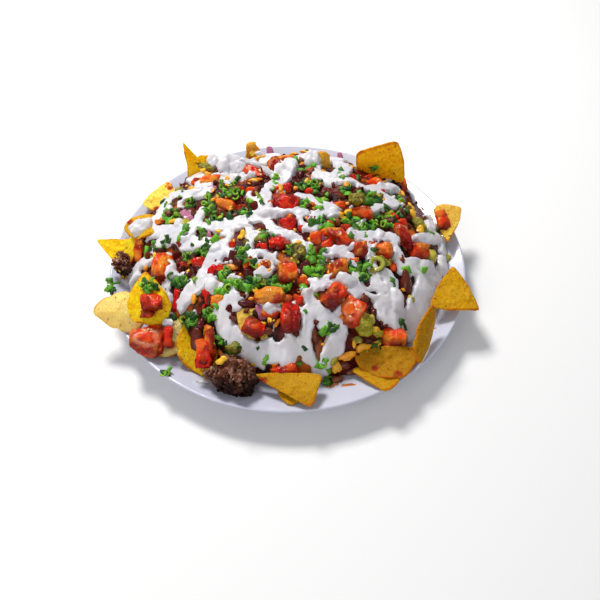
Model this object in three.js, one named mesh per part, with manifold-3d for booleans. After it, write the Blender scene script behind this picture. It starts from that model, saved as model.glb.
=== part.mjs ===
// Loaded nachos on a round white plate: curled corn chips stuck in and round a heap of beef,
// cheese and herbs, with diced tomato, guacamole and thick bands of sour cream on top.
// Millimetres, +Z up, origin at the middle of the plate's foot.
import * as THREE from "three";
import { mergeVertices } from "three/addons/utils/BufferGeometryUtils.js";
import Module from "manifold-3d";

const wasm = await Module();
wasm.setup();

// Driving dimensions of the plate: a shallow well, a sloping rim and a flat foot.
const PLATE_RADIUS = 140;
const PLATE_HEIGHT = 22;
const WELL_RADIUS = 88;
const WELL_HEIGHT = 6;
const SHOULDER_RADIUS = 118;
const SHOULDER_HEIGHT = 14;
const PLATE_WALL = 4.5;
const FOOT_RADIUS = 84;
const FOOT_GROOVE = { inner: 66, outer: 76, depth: 1.6 };
const ROUND_STEPS = 40;

// Driving dimensions of the heap, set a little behind the plate's middle.
const HEAP_RADIUS_X = 127;
const HEAP_RADIUS_Y = 116;
const HEAP_BACK = 8;
const HEAP_FLOOR = 3;
const HEAP_SHOULDER = 12;
const HEAP_RISE = 51;
const HEAP_RINGS = [0, 0.25, 0.48, 0.68, 0.83, 0.93, 0.98, 1];
const HEAP_STEPS = 32;
const CRUMB_COUNT = 44;
const CRUMB_SIZE = 3.5;
const BACK_LUMP_COUNT = 18;
const BACK_LUMP_SIZE = 6.5;
const LUMP_CLEARANCE = 1.5;
const TOPPING_CLEARANCE = 9;
const CHIP_CLEARANCE = 17;

// Driving dimensions of what lies on the heap.
const CHIP_THICKNESS = 2.2;
const CREAM_HEIGHT = 3.6;
const CREAM_DEPTH = 3;
const CREAM_STEP = 20;
const CREAM_SPREAD = 1.05;
const CREAM_PIECES = 5;
const TOPPING_LIFT = 3.5;
const DICE_ROUND = 0.34;
const SLICE_ROUND = 0.7;
const GAP = 0.3;
const FINEST = 0.05;

// The picture that the places are read from: 600 pixels square, taken with a 50 mm lens on
// a 36 mm wide frame, looking along +Y and down at the plate.
const PICTURE = { size: 600, lens: 50, frame: 36, elevation: 50.35, distance: 634.2 };
const AIM = new THREE.Vector3(9.7, -40.4, PLATE_HEIGHT);
const MM_PER_PIXEL = 0.8;
const FORESHORTENING = 0.77;

const slant = THREE.MathUtils.degToRad(PICTURE.elevation);
const ahead = new THREE.Vector3(0, Math.cos(slant), -Math.sin(slant));
const upward = new THREE.Vector3(0, Math.sin(slant), Math.cos(slant));
const eye = AIM.clone().addScaledVector(ahead, -PICTURE.distance);
const pixelsAway = (PICTURE.size * PICTURE.lens) / PICTURE.frame;

// Height of the plate's upper face at a distance from its middle.
function plateTop(radius) {
  const { clamp, mapLinear } = THREE.MathUtils;
  if (radius < SHOULDER_RADIUS) {
    const reach = clamp(radius, WELL_RADIUS, SHOULDER_RADIUS);
    const share = (reach - WELL_RADIUS) / (SHOULDER_RADIUS - WELL_RADIUS);
    return WELL_HEIGHT + (SHOULDER_HEIGHT - WELL_HEIGHT) * share ** 1.5;
  }
  return mapLinear(radius, SHOULDER_RADIUS, PLATE_RADIUS, SHOULDER_HEIGHT, PLATE_HEIGHT);
}

// Share of the way from the heap's middle to its edge, 0 to 1.
function heapShare(x, y) {
  return Math.hypot(x / HEAP_RADIUS_X, (y - HEAP_BACK) / HEAP_RADIUS_Y);
}

// Height of the heap's upper face: a flat-topped dome with soft hollows and swells.
function heapTop(x, y) {
  const share = Math.min(heapShare(x, y), 1);
  const dome = HEAP_SHOULDER + HEAP_RISE * (1 - share ** 2.5) ** 0.6;
  const swell = 2.2 * Math.sin(x / 15 + 0.8) * Math.cos(y / 13) + 1.2 * Math.sin((x + 2 * y) / 17);
  return dome + swell * (1 - share ** 4);
}

// Unit vector from the eye through a point of the picture.
function sightLine(px, py) {
  const half = PICTURE.size / 2;
  return ahead
    .clone()
    .multiplyScalar(pixelsAway)
    .add(new THREE.Vector3(px - half, 0, 0))
    .addScaledVector(upward, half - py)
    .normalize();
}

// The point that the picture shows at px, py, where its height is known.
function atHeight(px, py, z) {
  const line = sightLine(px, py);
  return eye.clone().addScaledVector(line, (z - eye.z) / line.z);
}

// The point of the heap that the picture shows at px, py, moved towards the eye by lift.
function onHeap(px, py, lift = 0) {
  const line = sightLine(px, py);
  const point = atHeight(px, py, HEAP_SHOULDER + HEAP_RISE + 6);
  const step = 0.4;
  const ground = (p) => {
    const plate = plateTop(Math.hypot(p.x, p.y));
    return heapShare(p.x, p.y) < 1 ? Math.max(heapTop(p.x, p.y), plate) : plate;
  };
  while (point.z > ground(point)) point.addScaledVector(line, step);
  return point.addScaledVector(line, -lift);
}

// Repeatable random numbers from 0 to 1.
function seeded(seed) {
  let state = seed;
  return () => {
    state = (state * 1664525 + 1013904223) % 4294967296;
    return state / 4294967296;
  };
}

// A solid from a closed three.js geometry, after move has carried each of its points.
function solid(geometry, move = (point) => point) {
  for (const name of ["normal", "uv"]) geometry.deleteAttribute(name);
  const merged = mergeVertices(geometry, 1e-4);
  const places = merged.getAttribute("position");
  const vertProperties = new Float32Array(places.count * 3);
  const point = new THREE.Vector3();
  for (let index = 0; index < places.count; index += 1) {
    move(point.fromBufferAttribute(places, index)).toArray(vertProperties, index * 3);
  }
  const corner = (vertex) => new THREE.Vector3().fromArray(vertProperties, vertex * 3);
  const triVerts = Uint32Array.from(merged.getIndex().array);
  let volume = 0;
  for (let index = 0; index < triVerts.length; index += 3) {
    const [a, b, c] = [0, 1, 2].map((side) => corner(triVerts[index + side]));
    volume += a.dot(b.cross(c));
  }
  if (volume < 0) triVerts.reverse();
  return new wasm.Manifold(new wasm.Mesh({ numProp: 3, vertProperties, triVerts }));
}

// The largest single piece of a solid that cutting may have left in several.
function largest(cut) {
  const pieces = cut.decompose().sort((a, b) => b.volume() - a.volume());
  return pieces[0];
}

function joined(pieces) {
  return pieces.reduce((whole, piece) => whole.add(piece));
}

// The plate, turned from its profile. Its foot is flat, with one groove pressed in.
function plateSolid() {
  const slope = [0, 0.5, 1].map((share) => {
    const radius = THREE.MathUtils.lerp(WELL_RADIUS, SHOULDER_RADIUS, share);
    return new THREE.Vector2(radius, plateTop(radius));
  });
  const lip = PLATE_WALL * 0.55;
  const profile = [
    new THREE.Vector2(0, WELL_HEIGHT),
    ...slope,
    new THREE.Vector2(PLATE_RADIUS - 1.2, PLATE_HEIGHT),
    new THREE.Vector2(PLATE_RADIUS, PLATE_HEIGHT - 0.8),
    new THREE.Vector2(PLATE_RADIUS - 1.5, PLATE_HEIGHT - lip - 1),
    new THREE.Vector2(SHOULDER_RADIUS + 1, SHOULDER_HEIGHT - PLATE_WALL),
    new THREE.Vector2(WELL_RADIUS + 2, 2.2),
    new THREE.Vector2(FOOT_RADIUS + 1, 1.8),
    new THREE.Vector2(FOOT_RADIUS, 0),
    new THREE.Vector2(FOOT_GROOVE.outer, 0),
    new THREE.Vector2(FOOT_GROOVE.outer - 1, FOOT_GROOVE.depth),
    new THREE.Vector2(FOOT_GROOVE.inner + 1, FOOT_GROOVE.depth),
    new THREE.Vector2(FOOT_GROOVE.inner, 0),
    new THREE.Vector2(0, 0),
  ];
  const turned = new THREE.LatheGeometry(profile, ROUND_STEPS);
  return solid(turned, (point) => point.set(point.x, -point.z, point.y));
}

// The heap's dome, from its floor inside the plate up to heapTop.
function domeSolid(grow = 0) {
  const profile = [new THREE.Vector2(0, -1), new THREE.Vector2(1, -1)];
  for (const share of [...HEAP_RINGS].reverse()) profile.push(new THREE.Vector2(share, 0));
  const turned = new THREE.LatheGeometry(profile, HEAP_STEPS);
  return solid(turned, (point) => {
    const under = point.y < -0.5;
    const x = point.x * HEAP_RADIUS_X;
    const y = -point.z * HEAP_RADIUS_Y + HEAP_BACK;
    const z = under ? HEAP_FLOOR : heapTop(x, y) + grow;
    return point.set(x * (1 + grow / HEAP_RADIUS_X), y - point.z * grow, z);
  });
}

// A lump with few sides: a ball with uneven corners, squashed to its half sizes and turned.
function lumpSolid({ centre, half, turn, seed, detail = 0 }, grow = 0) {
  const random = seeded(seed);
  const spin = new THREE.Quaternion().setFromEuler(new THREE.Euler(...turn));
  const ball = new THREE.IcosahedronGeometry(1, detail);
  return solid(ball, (point) => {
    const uneven = 0.86 + 0.26 * random();
    point.multiply(half.clone().multiplyScalar(uneven).addScalar(grow * 1.3));
    return point.applyQuaternion(spin).add(centre);
  });
}

// A knife-cut cube of tomato: a box whose faces swell a little and whose corners differ. A slice
// has its corners drawn in much further.
function diceSolid({ centre, half, turn, seed, round = DICE_ROUND }, grow = 0) {
  const random = seeded(seed);
  const spin = new THREE.Quaternion().setFromEuler(new THREE.Euler(...turn));
  const cube = new THREE.BoxGeometry(2, 2, 2, 2, 2, 1);
  return solid(cube, (point) => {
    const uneven = (0.96 + 0.3 * round + 0.16 * random()) / point.length() ** round;
    point.multiply(half.clone().multiplyScalar(uneven).addScalar(grow * 1.2));
    return point.applyQuaternion(spin).add(centre);
  });
}

// The middle of a chip's corners, each given as px, py and height.
function chipMiddle(corners) {
  const sum = new THREE.Vector3();
  for (const [px, py, z] of corners) sum.add(atHeight(px, py, z));
  return sum.divideScalar(corners.length);
}

// A corn chip: an outline of three or four bowed edges, curled about a line that runs
// between two of its corners, with an even thickness.
function chipSolid({ corners, line, curl, bow = 2 }, grow = 0) {
  const tips = corners.map(([px, py, z]) => atHeight(px, py, z));
  const middle = chipMiddle(corners);
  const normal = new THREE.Vector3();
  tips.forEach((tip, index) => {
    const next = tips[(index + 1) % tips.length];
    normal.add(tip.clone().sub(middle).cross(next.clone().sub(middle)));
  });
  normal.normalize();
  if (normal.dot(ahead) > 0) normal.negate();
  const along = tips[line[1]].clone().sub(tips[line[0]]);
  along.addScaledVector(normal, -along.dot(normal)).normalize();
  const across = normal.clone().cross(along);
  const reach = Math.max(...tips.map((tip) => Math.abs(tip.clone().sub(middle).dot(across))));

  const perEdge = tips.length === 3 ? 5 : 4;
  const around = perEdge * tips.length;
  const outline = [];
  tips.forEach((tip, index) => {
    const edge = tips[(index + 1) % tips.length].clone().sub(tip);
    for (let step = 0; step < perEdge; step += 1) {
      const share = step / perEdge;
      const point = tip.clone().addScaledVector(edge, share).sub(middle);
      const swell = bow * 4 * share * (1 - share) - (step === 0 ? 1.5 : 0);
      outline.push(point.addScaledVector(point.clone().normalize(), swell + grow));
    }
  });

  const ball = new THREE.SphereGeometry(1, around, 5);
  return solid(ball, (point) => {
    const ring = Math.hypot(point.x, point.z);
    const share = ring < 0.1 ? 0 : ring < 0.8 ? 0.55 : 1;
    const turnStep = Math.round((Math.atan2(point.z, -point.x) / (2 * Math.PI)) * around);
    const flat = outline[(turnStep + around) % around].clone().multiplyScalar(share);
    const offset = flat.dot(across) / reach;
    const lean = normal.clone().addScaledVector(across, (2 * curl * offset) / reach).normalize();
    const side = Math.sign(point.y) * (CHIP_THICKNESS / 2 + grow);
    point.copy(middle).add(flat).addScaledVector(normal, curl * (1 - offset * offset));
    return point.addScaledVector(lean, side);
  });
}

// The route of a band of cream over the heap, as stops of x, y and the band's half width.
// The picture's routes hold px, py and the half width there in pixels.
function pictureRoute(route) {
  return route.map(([px, py, width]) => {
    const { x, y } = onHeap(px, py);
    return [x, y, width * MM_PER_PIXEL * CREAM_SPREAD];
  });
}

function bandCurve(route) {
  return new THREE.CatmullRomCurve3(route.map((stop) => new THREE.Vector3(...stop)));
}

// A band of cream: a round-topped section carried along its route.
function bandSolid(curve) {
  const steps = Math.max(2, Math.round(curve.getLength() / CREAM_STEP));
  const tube = new THREE.CylinderGeometry(1, 1, steps, 6, steps);
  return solid(tube, (point) => {
    const share = THREE.MathUtils.clamp(point.y / steps + 0.5, 0, 1);
    const place = curve.getPointAt(share);
    const heading = curve.getTangentAt(share);
    heading.z = 0;
    heading.normalize();
    const end = share < 0.001 || share > 0.999;
    const squeeze = Math.hypot(heading.y, FORESHORTENING * heading.x);
    const width = (place.z / squeeze) * (end ? 0.5 : 1);
    const x = place.x - heading.y * width * point.x;
    const y = place.y + heading.x * width * point.x;
    const rise = point.z > 0.1 ? CREAM_HEIGHT : point.z < -0.1 ? -CREAM_DEPTH : 0.4 * CREAM_HEIGHT;
    return point.set(x, y, heapTop(x, y) + rise * (end ? 0.6 : 1));
  });
}

// Corners are px, py and height. line names the two corners that the curl runs between.
const CHIPS = [
  {
    corners: [[356, 152, 62], [397.5, 140.5, 68], [404, 181, 24], [363, 184, 24]],
    line: [0, 3], curl: 3, bow: 2.5,
  },
  {
    corners: [[180, 142, 64], [192, 158, 50], [216, 155, 58], [214, 190, 30], [187, 186, 24]],
    line: [0, 4], curl: -7, bow: -1,
  },
  { corners: [[143, 203, 25], [170, 182, 33], [178, 204, 40], [158, 214, 30]], line: [0, 1], curl: 3 },
  { corners: [[125, 230, 24], [155, 215, 34], [166, 236, 42], [138, 244, 32]], line: [0, 3], curl: 6, bow: 1 },
  { corners: [[94, 238, 27], [142, 235, 37], [124, 282, 21]], line: [0, 1], curl: -3, bow: -1.5 },
  {
    corners: [[95, 313, 26], [112, 296, 31], [131, 291, 36], [152, 318, 31], [138, 333, 21], [119, 331, 20]],
    line: [0, 3], curl: 7, bow: 1,
  },
  {
    corners: [[147, 271, 48], [128, 298, 40], [133, 322, 31], [165, 327, 30], [172, 300, 44]],
    line: [0, 2], curl: 5, bow: 1,
  },
  { corners: [[186, 312, 44], [175, 350, 28], [202, 380, 20], [217, 350, 33]], line: [0, 2], curl: -9, bow: 3 },
  { corners: [[251, 377, 21], [323, 375, 27], [313, 410, 23]], line: [0, 2], curl: 4, bow: 0.5 },
  { corners: [[276, 386, 16], [289, 407, 21], [308, 392, 19]], line: [0, 1], curl: 1 },
  { corners: [[354, 350, 28], [422, 346, 25], [404, 378, 27], [366, 373, 22]], line: [0, 1], curl: -2 },
  {
    corners: [[350, 371, 17], [386, 393, 24], [402, 379, 23.5], [372, 364, 18]],
    line: [0, 2], curl: 1, bow: 1,
  },
  { corners: [[429, 302, 42], [432, 331, 25], [414, 366, 22], [412, 336, 36]], line: [0, 2], curl: 4 },
  { corners: [[452, 267, 31], [480, 312, 24], [428, 308, 28]], line: [0, 1], curl: 3 },
  { corners: [[432, 208, 35], [462, 208, 31], [447, 245, 28]], line: [0, 2], curl: 2 },
  { corners: [[307, 155, 59], [327, 151, 60], [330, 174, 44], [306, 177, 48]], line: [0, 3], curl: 3, bow: 1 },
  { corners: [[237, 309, 47], [273, 312, 47], [264, 355, 30], [244, 339, 37]], line: [0, 1], curl: 1.5 },
  { corners: [[160, 320, 27], [184, 322, 33], [178, 356, 18], [146, 353, 22]], line: [0, 3], curl: 2 },
  {
    corners: [[247, 141, 52], [258, 143, 51], [262, 160, 36], [246, 160, 36]],
    line: [0, 3], curl: 2, bow: 0.5,
  },
  { corners: [[298, 154, 46], [331, 158, 42], [316, 156, 22]], line: [0, 1], curl: 2 },
];

// Diced and sliced tomato: px, py, half width, half height on the picture, half depth in
// millimetres, lift towards the eye and turn about the vertical.
const TOMATOES = [
  { px: 256, py: 173, across: 12, down: 7, deep: 4, turn: -0.6 },
  { px: 275, py: 167, across: 7, down: 9, deep: 5, turn: 0.3 },
  { px: 285, py: 205, across: 12, down: 8, deep: 6, turn: -0.2 },
  { px: 279, py: 243, across: 8, down: 6, deep: 5, turn: 0.4 },
  { px: 288, py: 273, across: 8, down: 9, deep: 6, turn: 0.1 },
  { px: 340, py: 237, across: 12, down: 7, deep: 5, turn: -0.3 },
  { px: 359, py: 249, across: 8, down: 8, deep: 5, turn: -0.5 },
  { px: 384, py: 252, across: 8, down: 7, deep: 5, turn: 0 },
  { px: 338, py: 270, across: 9, down: 8, deep: 5, turn: 0.2 },
  { px: 403, py: 236, across: 6, down: 14, deep: 6, turn: 0.3 },
  { px: 418, py: 252, across: 9, down: 7, deep: 6, turn: -0.3 },
  { px: 443, py: 221, across: 6, down: 9, deep: 3, turn: 0.2, z: 35.5 },
  { px: 374, py: 183, across: 7, down: 6, deep: 5, turn: 0.4 },
  { px: 362, py: 213, across: 10, down: 7, deep: 5, turn: -0.2 },
  { px: 163, py: 268, across: 9, down: 12, deep: 6, turn: -0.2 },
  { px: 151, py: 302, across: 9, down: 7, deep: 5, turn: 0.1, z: 48 },
  { px: 148, py: 338, across: 14, down: 13, deep: 4.5, turn: -0.3, z: 29, round: SLICE_ROUND },
  { px: 206, py: 352, across: 8, down: 11, deep: 5, turn: 0.2, z: 34 },
  { px: 254, py: 328, across: 9, down: 7, deep: 5, turn: -0.4, lift: 5 },
  { px: 270, py: 297, across: 12, down: 7, deep: 6, turn: 0.1 },
  { px: 291, py: 318, across: 8, down: 14, deep: 5, turn: 0 },
  { px: 334, py: 296, across: 8, down: 11, deep: 6, turn: -0.7 },
  { px: 352, py: 312, across: 10, down: 12, deep: 6, turn: -0.5 },
  { px: 393, py: 339, across: 11, down: 11, deep: 7, turn: -0.3, lift: 3 },
  { px: 284, py: 371, across: 11, down: 7, deep: 6, turn: 0 },
];

const GUACAMOLE = [
  { px: 431, py: 256, across: 6, down: 8, deep: 5, turn: 0 },
  { px: 364, py: 326, across: 9, down: 11, deep: 7, turn: 0.2 },
  { px: 357, py: 200, across: 10, down: 6, deep: 6, turn: 0 },
  { px: 420, py: 226, across: 6, down: 10, deep: 6, turn: 0.3 },
];

const BEEF = [
  { px: 235, py: 377, across: 21, down: 18, deep: 13, turn: 0, z: 26 },
  { px: 123, py: 264, across: 9, down: 12, deep: 5, turn: 0.2, z: 31 },
];

const RED_ONION = [{ px: 189, py: 215, across: 9, down: 8, deep: 3, turn: 0.7, lift: 3 }];

// A slice of pickled pepper: px, py, the ring's radius and its wall's radius in millimetres.
const PEPPER_RING = { px: 377, py: 264, ring: 4.6, wall: 1.9, turn: [0.5, -0.2, 0], lift: 5 };

// Chopped green herbs lie in small clusters: px, py and the cluster's radius in pixels.
const HERB_CLUSTERS = [
  [307, 165, 5], [340, 173, 5], [222, 192, 8], [236, 191, 6], [176, 212, 8], [192, 205, 5], [209, 209, 7],
  [248, 207, 8], [306, 206, 6], [311, 184, 7], [378, 198, 8], [350, 224, 7], [378, 224, 8], [389, 214, 5],
  [386, 232, 6], [245, 256, 7], [315, 258, 8], [318, 272, 8], [359, 266, 8], [242, 283, 7], [262, 283, 6],
  [278, 286, 7], [196, 254, 8], [150, 249, 5], [186, 283, 5], [208, 313, 6], [191, 317, 6], [328, 328, 7],
  [237, 349, 6], [145, 287, 6],
];

const CREAM_BANDS = [
  [[211, 168, 7], [222, 165, 10], [238, 167, 10], [243, 176, 7]],
  [[238, 163, 5], [254, 166, 5], [268, 173, 5], [280, 182, 6]],
  [[280, 182, 7], [268, 190, 7], [267, 205, 7], [272, 214, 6], [290, 213, 5], [303, 215, 6]],
  [[211, 184, 5], [208, 194, 6], [190, 196, 7], [172, 198, 7], [164, 212, 8], [147, 230, 9]],
  [[147, 231, 8], [163, 232, 9], [183, 234, 9], [197, 224, 7], [203, 211, 5]],
  [[178, 236, 7], [190, 246, 8], [207, 243, 6], [221, 249, 7]],
  [[205, 228, 6], [229, 227, 8], [247, 222, 8], [262, 215, 8], [263, 206, 6], [250, 196, 5]],
  [[229, 226, 7], [226, 242, 7], [216, 258, 10], [203, 281, 10], [190, 293, 8], [182, 307, 5]],
  [[245, 221, 6], [250, 238, 6], [250, 254, 6], [266, 257, 6], [271, 267, 6], [258, 277, 6]],
  [[262, 218, 7], [275, 232, 7], [292, 238, 7], [304, 246, 6], [309, 259, 5]],
  [[298, 214, 6], [309, 229, 8], [322, 214, 8], [334, 212, 7], [316, 203, 7], [300, 197, 6]],
  [[283, 184, 6], [290, 174, 7], [293, 163, 7], [312, 158, 7], [318, 176, 7]],
  [[316, 177, 6], [340, 182, 6], [354, 184, 5], [368, 190, 5], [394, 189, 8]],
  [[368, 190, 5], [393, 205, 7], [373, 211, 5], [350, 236, 5], [369, 239, 7]],
  [[369, 240, 7], [370, 255, 7], [372, 275, 8], [378, 292, 11], [384, 312, 12]],
  [[372, 238, 7], [390, 240, 7], [397, 252, 7], [400, 266, 9], [418, 268, 9], [430, 282, 13]],
  [[430, 280, 13], [420, 300, 11], [408, 324, 12], [390, 314, 12], [392, 290, 12], [386, 276, 7]],
  [[418, 241, 7], [440, 243, 7], [441, 258, 5], [441, 274, 6], [433, 288, 7]],
  [[428, 238, 6], [431, 218, 6]],
  [[327, 254, 5], [344, 254, 7], [353, 266, 5], [357, 287, 9], [344, 303, 6], [338, 312, 5]],
  [[372, 290, 9], [357, 288, 8], [338, 280, 6], [312, 286, 7]],
  [[312, 284, 7], [307, 300, 9], [308, 318, 8], [306, 340, 7], [307, 358, 8], [313, 371, 7]],
  [[317, 310, 7], [326, 322, 7], [340, 326, 8], [338, 341, 9], [327, 354, 7], [322, 368, 6]],
  [[233, 298, 7], [223, 308, 9], [223, 322, 10], [234, 337, 9], [252, 351, 7], [262, 354, 7]],
  [[212, 282, 7], [222, 295, 7], [221, 308, 8]],
  [[250, 351, 7], [273, 353, 9], [290, 350, 9], [281, 338, 6]],
  [[267, 308, 5], [277, 314, 5], [277, 328, 5]],
  [[168, 256, 5], [173, 273, 5], [167, 290, 8], [170, 322, 5]],
  [[131, 282, 8], [140, 269, 8], [153, 256, 5], [158, 246, 6], [178, 238, 7]],
];

// Bands on the slope behind, that the picture hides: x, y and the half width in millimetres.
const BACK_BANDS = [
  [[-66, 52, 6], [-76, 72, 7], [-78, 88, 7], [-64, 100, 6]],
  [[-6, 64, 6], [-18, 84, 7], [-12, 102, 6], [-16, 114, 5]],
  [[34, 50, 6], [46, 76, 7], [40, 94, 6], [48, 106, 5]],
];

// Half sizes on the heap of a piece whose size is read off the picture.
function placed(piece, index, kind) {
  const { px, py, z, across, down, deep, turn, lift = TOPPING_LIFT } = piece;
  return {
    centre: z === undefined ? onHeap(px, py, lift) : atHeight(px, py, z),
    half: new THREE.Vector3(across * MM_PER_PIXEL, down * MM_PER_PIXEL, deep),
    turn: [0.35, 0, turn],
    seed: 97 * index + kind,
    round: piece.round,
  };
}

const bandCurves = [...CREAM_BANDS.map(pictureRoute), ...BACK_BANDS].map(bandCurve);
const bandStops = bandCurves.flatMap((curve) =>
  curve.getSpacedPoints(Math.ceil(curve.getLength() / (CREAM_STEP / 4))),
);
const toppings = [...TOMATOES, ...GUACAMOLE, ...BEEF, ...RED_ONION, PEPPER_RING];
const toppingPlaces = toppings.map(({ px, py }) => onHeap(px, py));
const chipPlaces = CHIPS.map(({ corners }) => chipMiddle(corners));

// Whether a lump at centre stays clear of the cream, the larger toppings and the chips.
function isFree({ centre }) {
  const inCream = ({ x, y, z }) => Math.hypot(centre.x - x, centre.y - y) < z + LUMP_CLEARANCE;
  const byTopping = (place) => place.distanceTo(centre) < TOPPING_CLEARANCE;
  const byChip = (place) => place.distanceTo(centre) < CHIP_CLEARANCE;
  return !bandStops.some(inCream) && !toppingPlaces.some(byTopping) && !chipPlaces.some(byChip);
}

// Crumbs of meat and cheese fused to the heap, spread evenly by a golden-angle rule.
function crumbs() {
  const random = seeded(2718);
  return Array.from({ length: CRUMB_COUNT }, (_, index) => {
    const share = Math.sqrt((index + 0.5) / CRUMB_COUNT) * 0.97;
    const angle = index * Math.PI * (3 - Math.sqrt(5));
    const x = share * HEAP_RADIUS_X * Math.cos(angle);
    const y = share * HEAP_RADIUS_Y * Math.sin(angle) + HEAP_BACK;
    const size = CRUMB_SIZE + 3 * random();
    return {
      centre: new THREE.Vector3(x, y, heapTop(x, y) + 0.5),
      half: new THREE.Vector3(size, size * (0.6 + 0.4 * random()), 2.5 + 1.5 * random()),
      turn: [0.5 * random(), 0.5 * random(), 2 * Math.PI * random()],
      seed: index + 1,
    };
  });
}

// Pieces as large as the diced toppings, fused to the slope behind in a wide arc.
function backLumps() {
  const random = seeded(1618);
  return Array.from({ length: BACK_LUMP_COUNT }, (_, index) => {
    const share = 0.62 + 0.3 * ((index * 2) % 5) / 4;
    const angle = Math.PI * (0.1 + (0.8 * (index + random())) / BACK_LUMP_COUNT);
    const x = share * HEAP_RADIUS_X * Math.cos(angle);
    const y = share * HEAP_RADIUS_Y * Math.sin(angle) + HEAP_BACK;
    const size = BACK_LUMP_SIZE + 2 * random();
    return {
      centre: new THREE.Vector3(x, y, heapTop(x, y) + 1.5),
      half: new THREE.Vector3(size, size * 0.8, 5),
      turn: [0.5 * random(), 0.5 * random(), 2 * Math.PI * random()],
      seed: 800 + index,
    };
  });
}

// Clusters of chopped herb fused to the heap, as uneven flat lumps.
function herbs() {
  const random = seeded(3141);
  return HERB_CLUSTERS.map(([px, py, radius], index) => ({
    centre: onHeap(px, py, 1.5),
    half: new THREE.Vector3(radius * MM_PER_PIXEL, 0.7 * radius * MM_PER_PIXEL, 2.8),
    turn: [random() - 0.5, random() - 0.5, 2 * Math.PI * random()],
    seed: 500 + index,
  }));
}

// The heap with all that is fused to it, standing on the plate.
function heapSolid(grow = 0) {
  const fused = [...crumbs(), ...backLumps(), ...herbs()].filter(isFree);
  const lumps = fused.map((lump) => lumpSolid(lump, grow));
  return joined([domeSolid(grow), ...lumps]);
}

// A ring of pickled pepper, lying tilted on the heap.
function ringSolid({ px, py, ring, wall, turn, lift }, grow = 0) {
  const centre = onHeap(px, py, lift);
  const spin = new THREE.Quaternion().setFromEuler(new THREE.Euler(...turn));
  const torus = new THREE.TorusGeometry(ring, wall + grow, 6, 10);
  return solid(torus, (point) => point.applyQuaternion(spin).add(centre));
}

const plate = plateSolid();
const wider = (PLATE_RADIUS + GAP) / PLATE_RADIUS;
const plateGrown = plate.add(plate.scale([wider, wider, 1]).translate(0, 0, GAP));
const heap = largest(heapSolid().subtract(plateGrown));
const ground = heapSolid(GAP).add(plateGrown);

// Every loose piece is cut by what it stands on and by the pieces placed before it.
const loose = [];
function place(name, build, spec, colour, roughness) {
  const whole = build(spec);
  const grown = build(spec, GAP);
  const near = loose.filter((piece) => {
    const [a, b] = [piece.grown.boundingBox(), whole.boundingBox()];
    return [0, 1, 2].every((axis) => a.min[axis] < b.max[axis] && a.max[axis] > b.min[axis]);
  });
  const body = near.reduce((rest, piece) => rest.subtract(piece.grown), whole.subtract(ground));
  loose.push({ name, body: largest(body), grown, colour, roughness });
}

CHIPS.forEach((chip, index) => {
  place(`tortilla_chip_${index + 1}`, chipSolid, chip, 0xe0a21c, 0.75);
});
TOMATOES.forEach((piece, index) => {
  place(`tomato_${index + 1}`, diceSolid, placed(piece, index, 11), 0xc41a10, 0.3);
});
GUACAMOLE.forEach((piece, index) => {
  const lump = { ...placed(piece, index, 23), detail: 1 };
  place(`guacamole_${index + 1}`, lumpSolid, lump, 0x93982a, 0.45);
});
BEEF.forEach((piece, index) => {
  const lump = { ...placed(piece, index, 41), detail: 2 };
  place(`ground_beef_${index + 1}`, lumpSolid, lump, 0x3a1f16, 0.6);
});
RED_ONION.forEach((piece, index) => {
  place(`red_onion_${index + 1}`, diceSolid, placed(piece, index, 59), 0xd9a0b8, 0.4);
});
place("pepper_ring", ringSolid, PEPPER_RING, 0x7d7a22, 0.4);

const looseGrown = joined(loose.map((piece) => piece.grown));
const bands = joined(bandCurves.map(bandSolid));
const cream = bands.subtract(ground).subtract(looseGrown);
const creamPieces = cream.decompose().sort((a, b) => b.volume() - a.volume());

const nachos = new THREE.Group();
nachos.name = "nachos";

function show(name, body, colour, roughness) {
  const { vertProperties, triVerts } = body.getMesh();
  const geometry = new THREE.BufferGeometry();
  geometry.setAttribute("position", new THREE.BufferAttribute(vertProperties, 3));
  geometry.setIndex(new THREE.BufferAttribute(triVerts, 1));
  const material = new THREE.MeshStandardMaterial({ color: colour, roughness, metalness: 0 });
  const mesh = new THREE.Mesh(geometry, material);
  mesh.name = name;
  nachos.add(mesh);
}

// Slivers that the cuts leave in the food, finer than a twentieth of a millimetre, are merged away.
show("plate", plate, 0xf2f2f4, 0.2);
show("heap", heap.simplify(FINEST), 0x5a2c18, 0.6);
for (const piece of loose) show(piece.name, piece.body.simplify(FINEST), piece.colour, piece.roughness);
creamPieces.slice(0, CREAM_PIECES).forEach((piece, index) => {
  show(`sour_cream_${index + 1}`, piece.simplify(FINEST), 0xf1eef0, 0.35);
});

export default nachos;
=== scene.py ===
"""Loaded nachos heaped on a round white plate: what each piece looks like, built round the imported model."""
import math

import bmesh
import bpy
import numpy as np
from mathutils import Matrix, Vector


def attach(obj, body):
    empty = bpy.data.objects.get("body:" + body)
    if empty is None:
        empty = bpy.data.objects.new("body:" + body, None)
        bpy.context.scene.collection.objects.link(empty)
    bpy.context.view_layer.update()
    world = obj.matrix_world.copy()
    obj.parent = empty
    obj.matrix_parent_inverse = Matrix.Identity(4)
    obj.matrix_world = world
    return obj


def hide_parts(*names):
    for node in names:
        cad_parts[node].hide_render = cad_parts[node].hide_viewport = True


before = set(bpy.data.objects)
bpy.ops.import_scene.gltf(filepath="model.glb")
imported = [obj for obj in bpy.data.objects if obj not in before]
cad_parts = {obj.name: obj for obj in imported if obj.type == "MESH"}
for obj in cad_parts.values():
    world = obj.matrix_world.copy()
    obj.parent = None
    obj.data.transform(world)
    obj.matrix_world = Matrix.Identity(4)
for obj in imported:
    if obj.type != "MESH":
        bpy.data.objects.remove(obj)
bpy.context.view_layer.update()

# The view. The photograph looks along +Y and down at the plate, and pieces that are read off it are
# carried along its sight lines to the food below. Lengths are millimetres until a mesh is made.
PICTURE_SIZE = 600
LENS = 50.0
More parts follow.
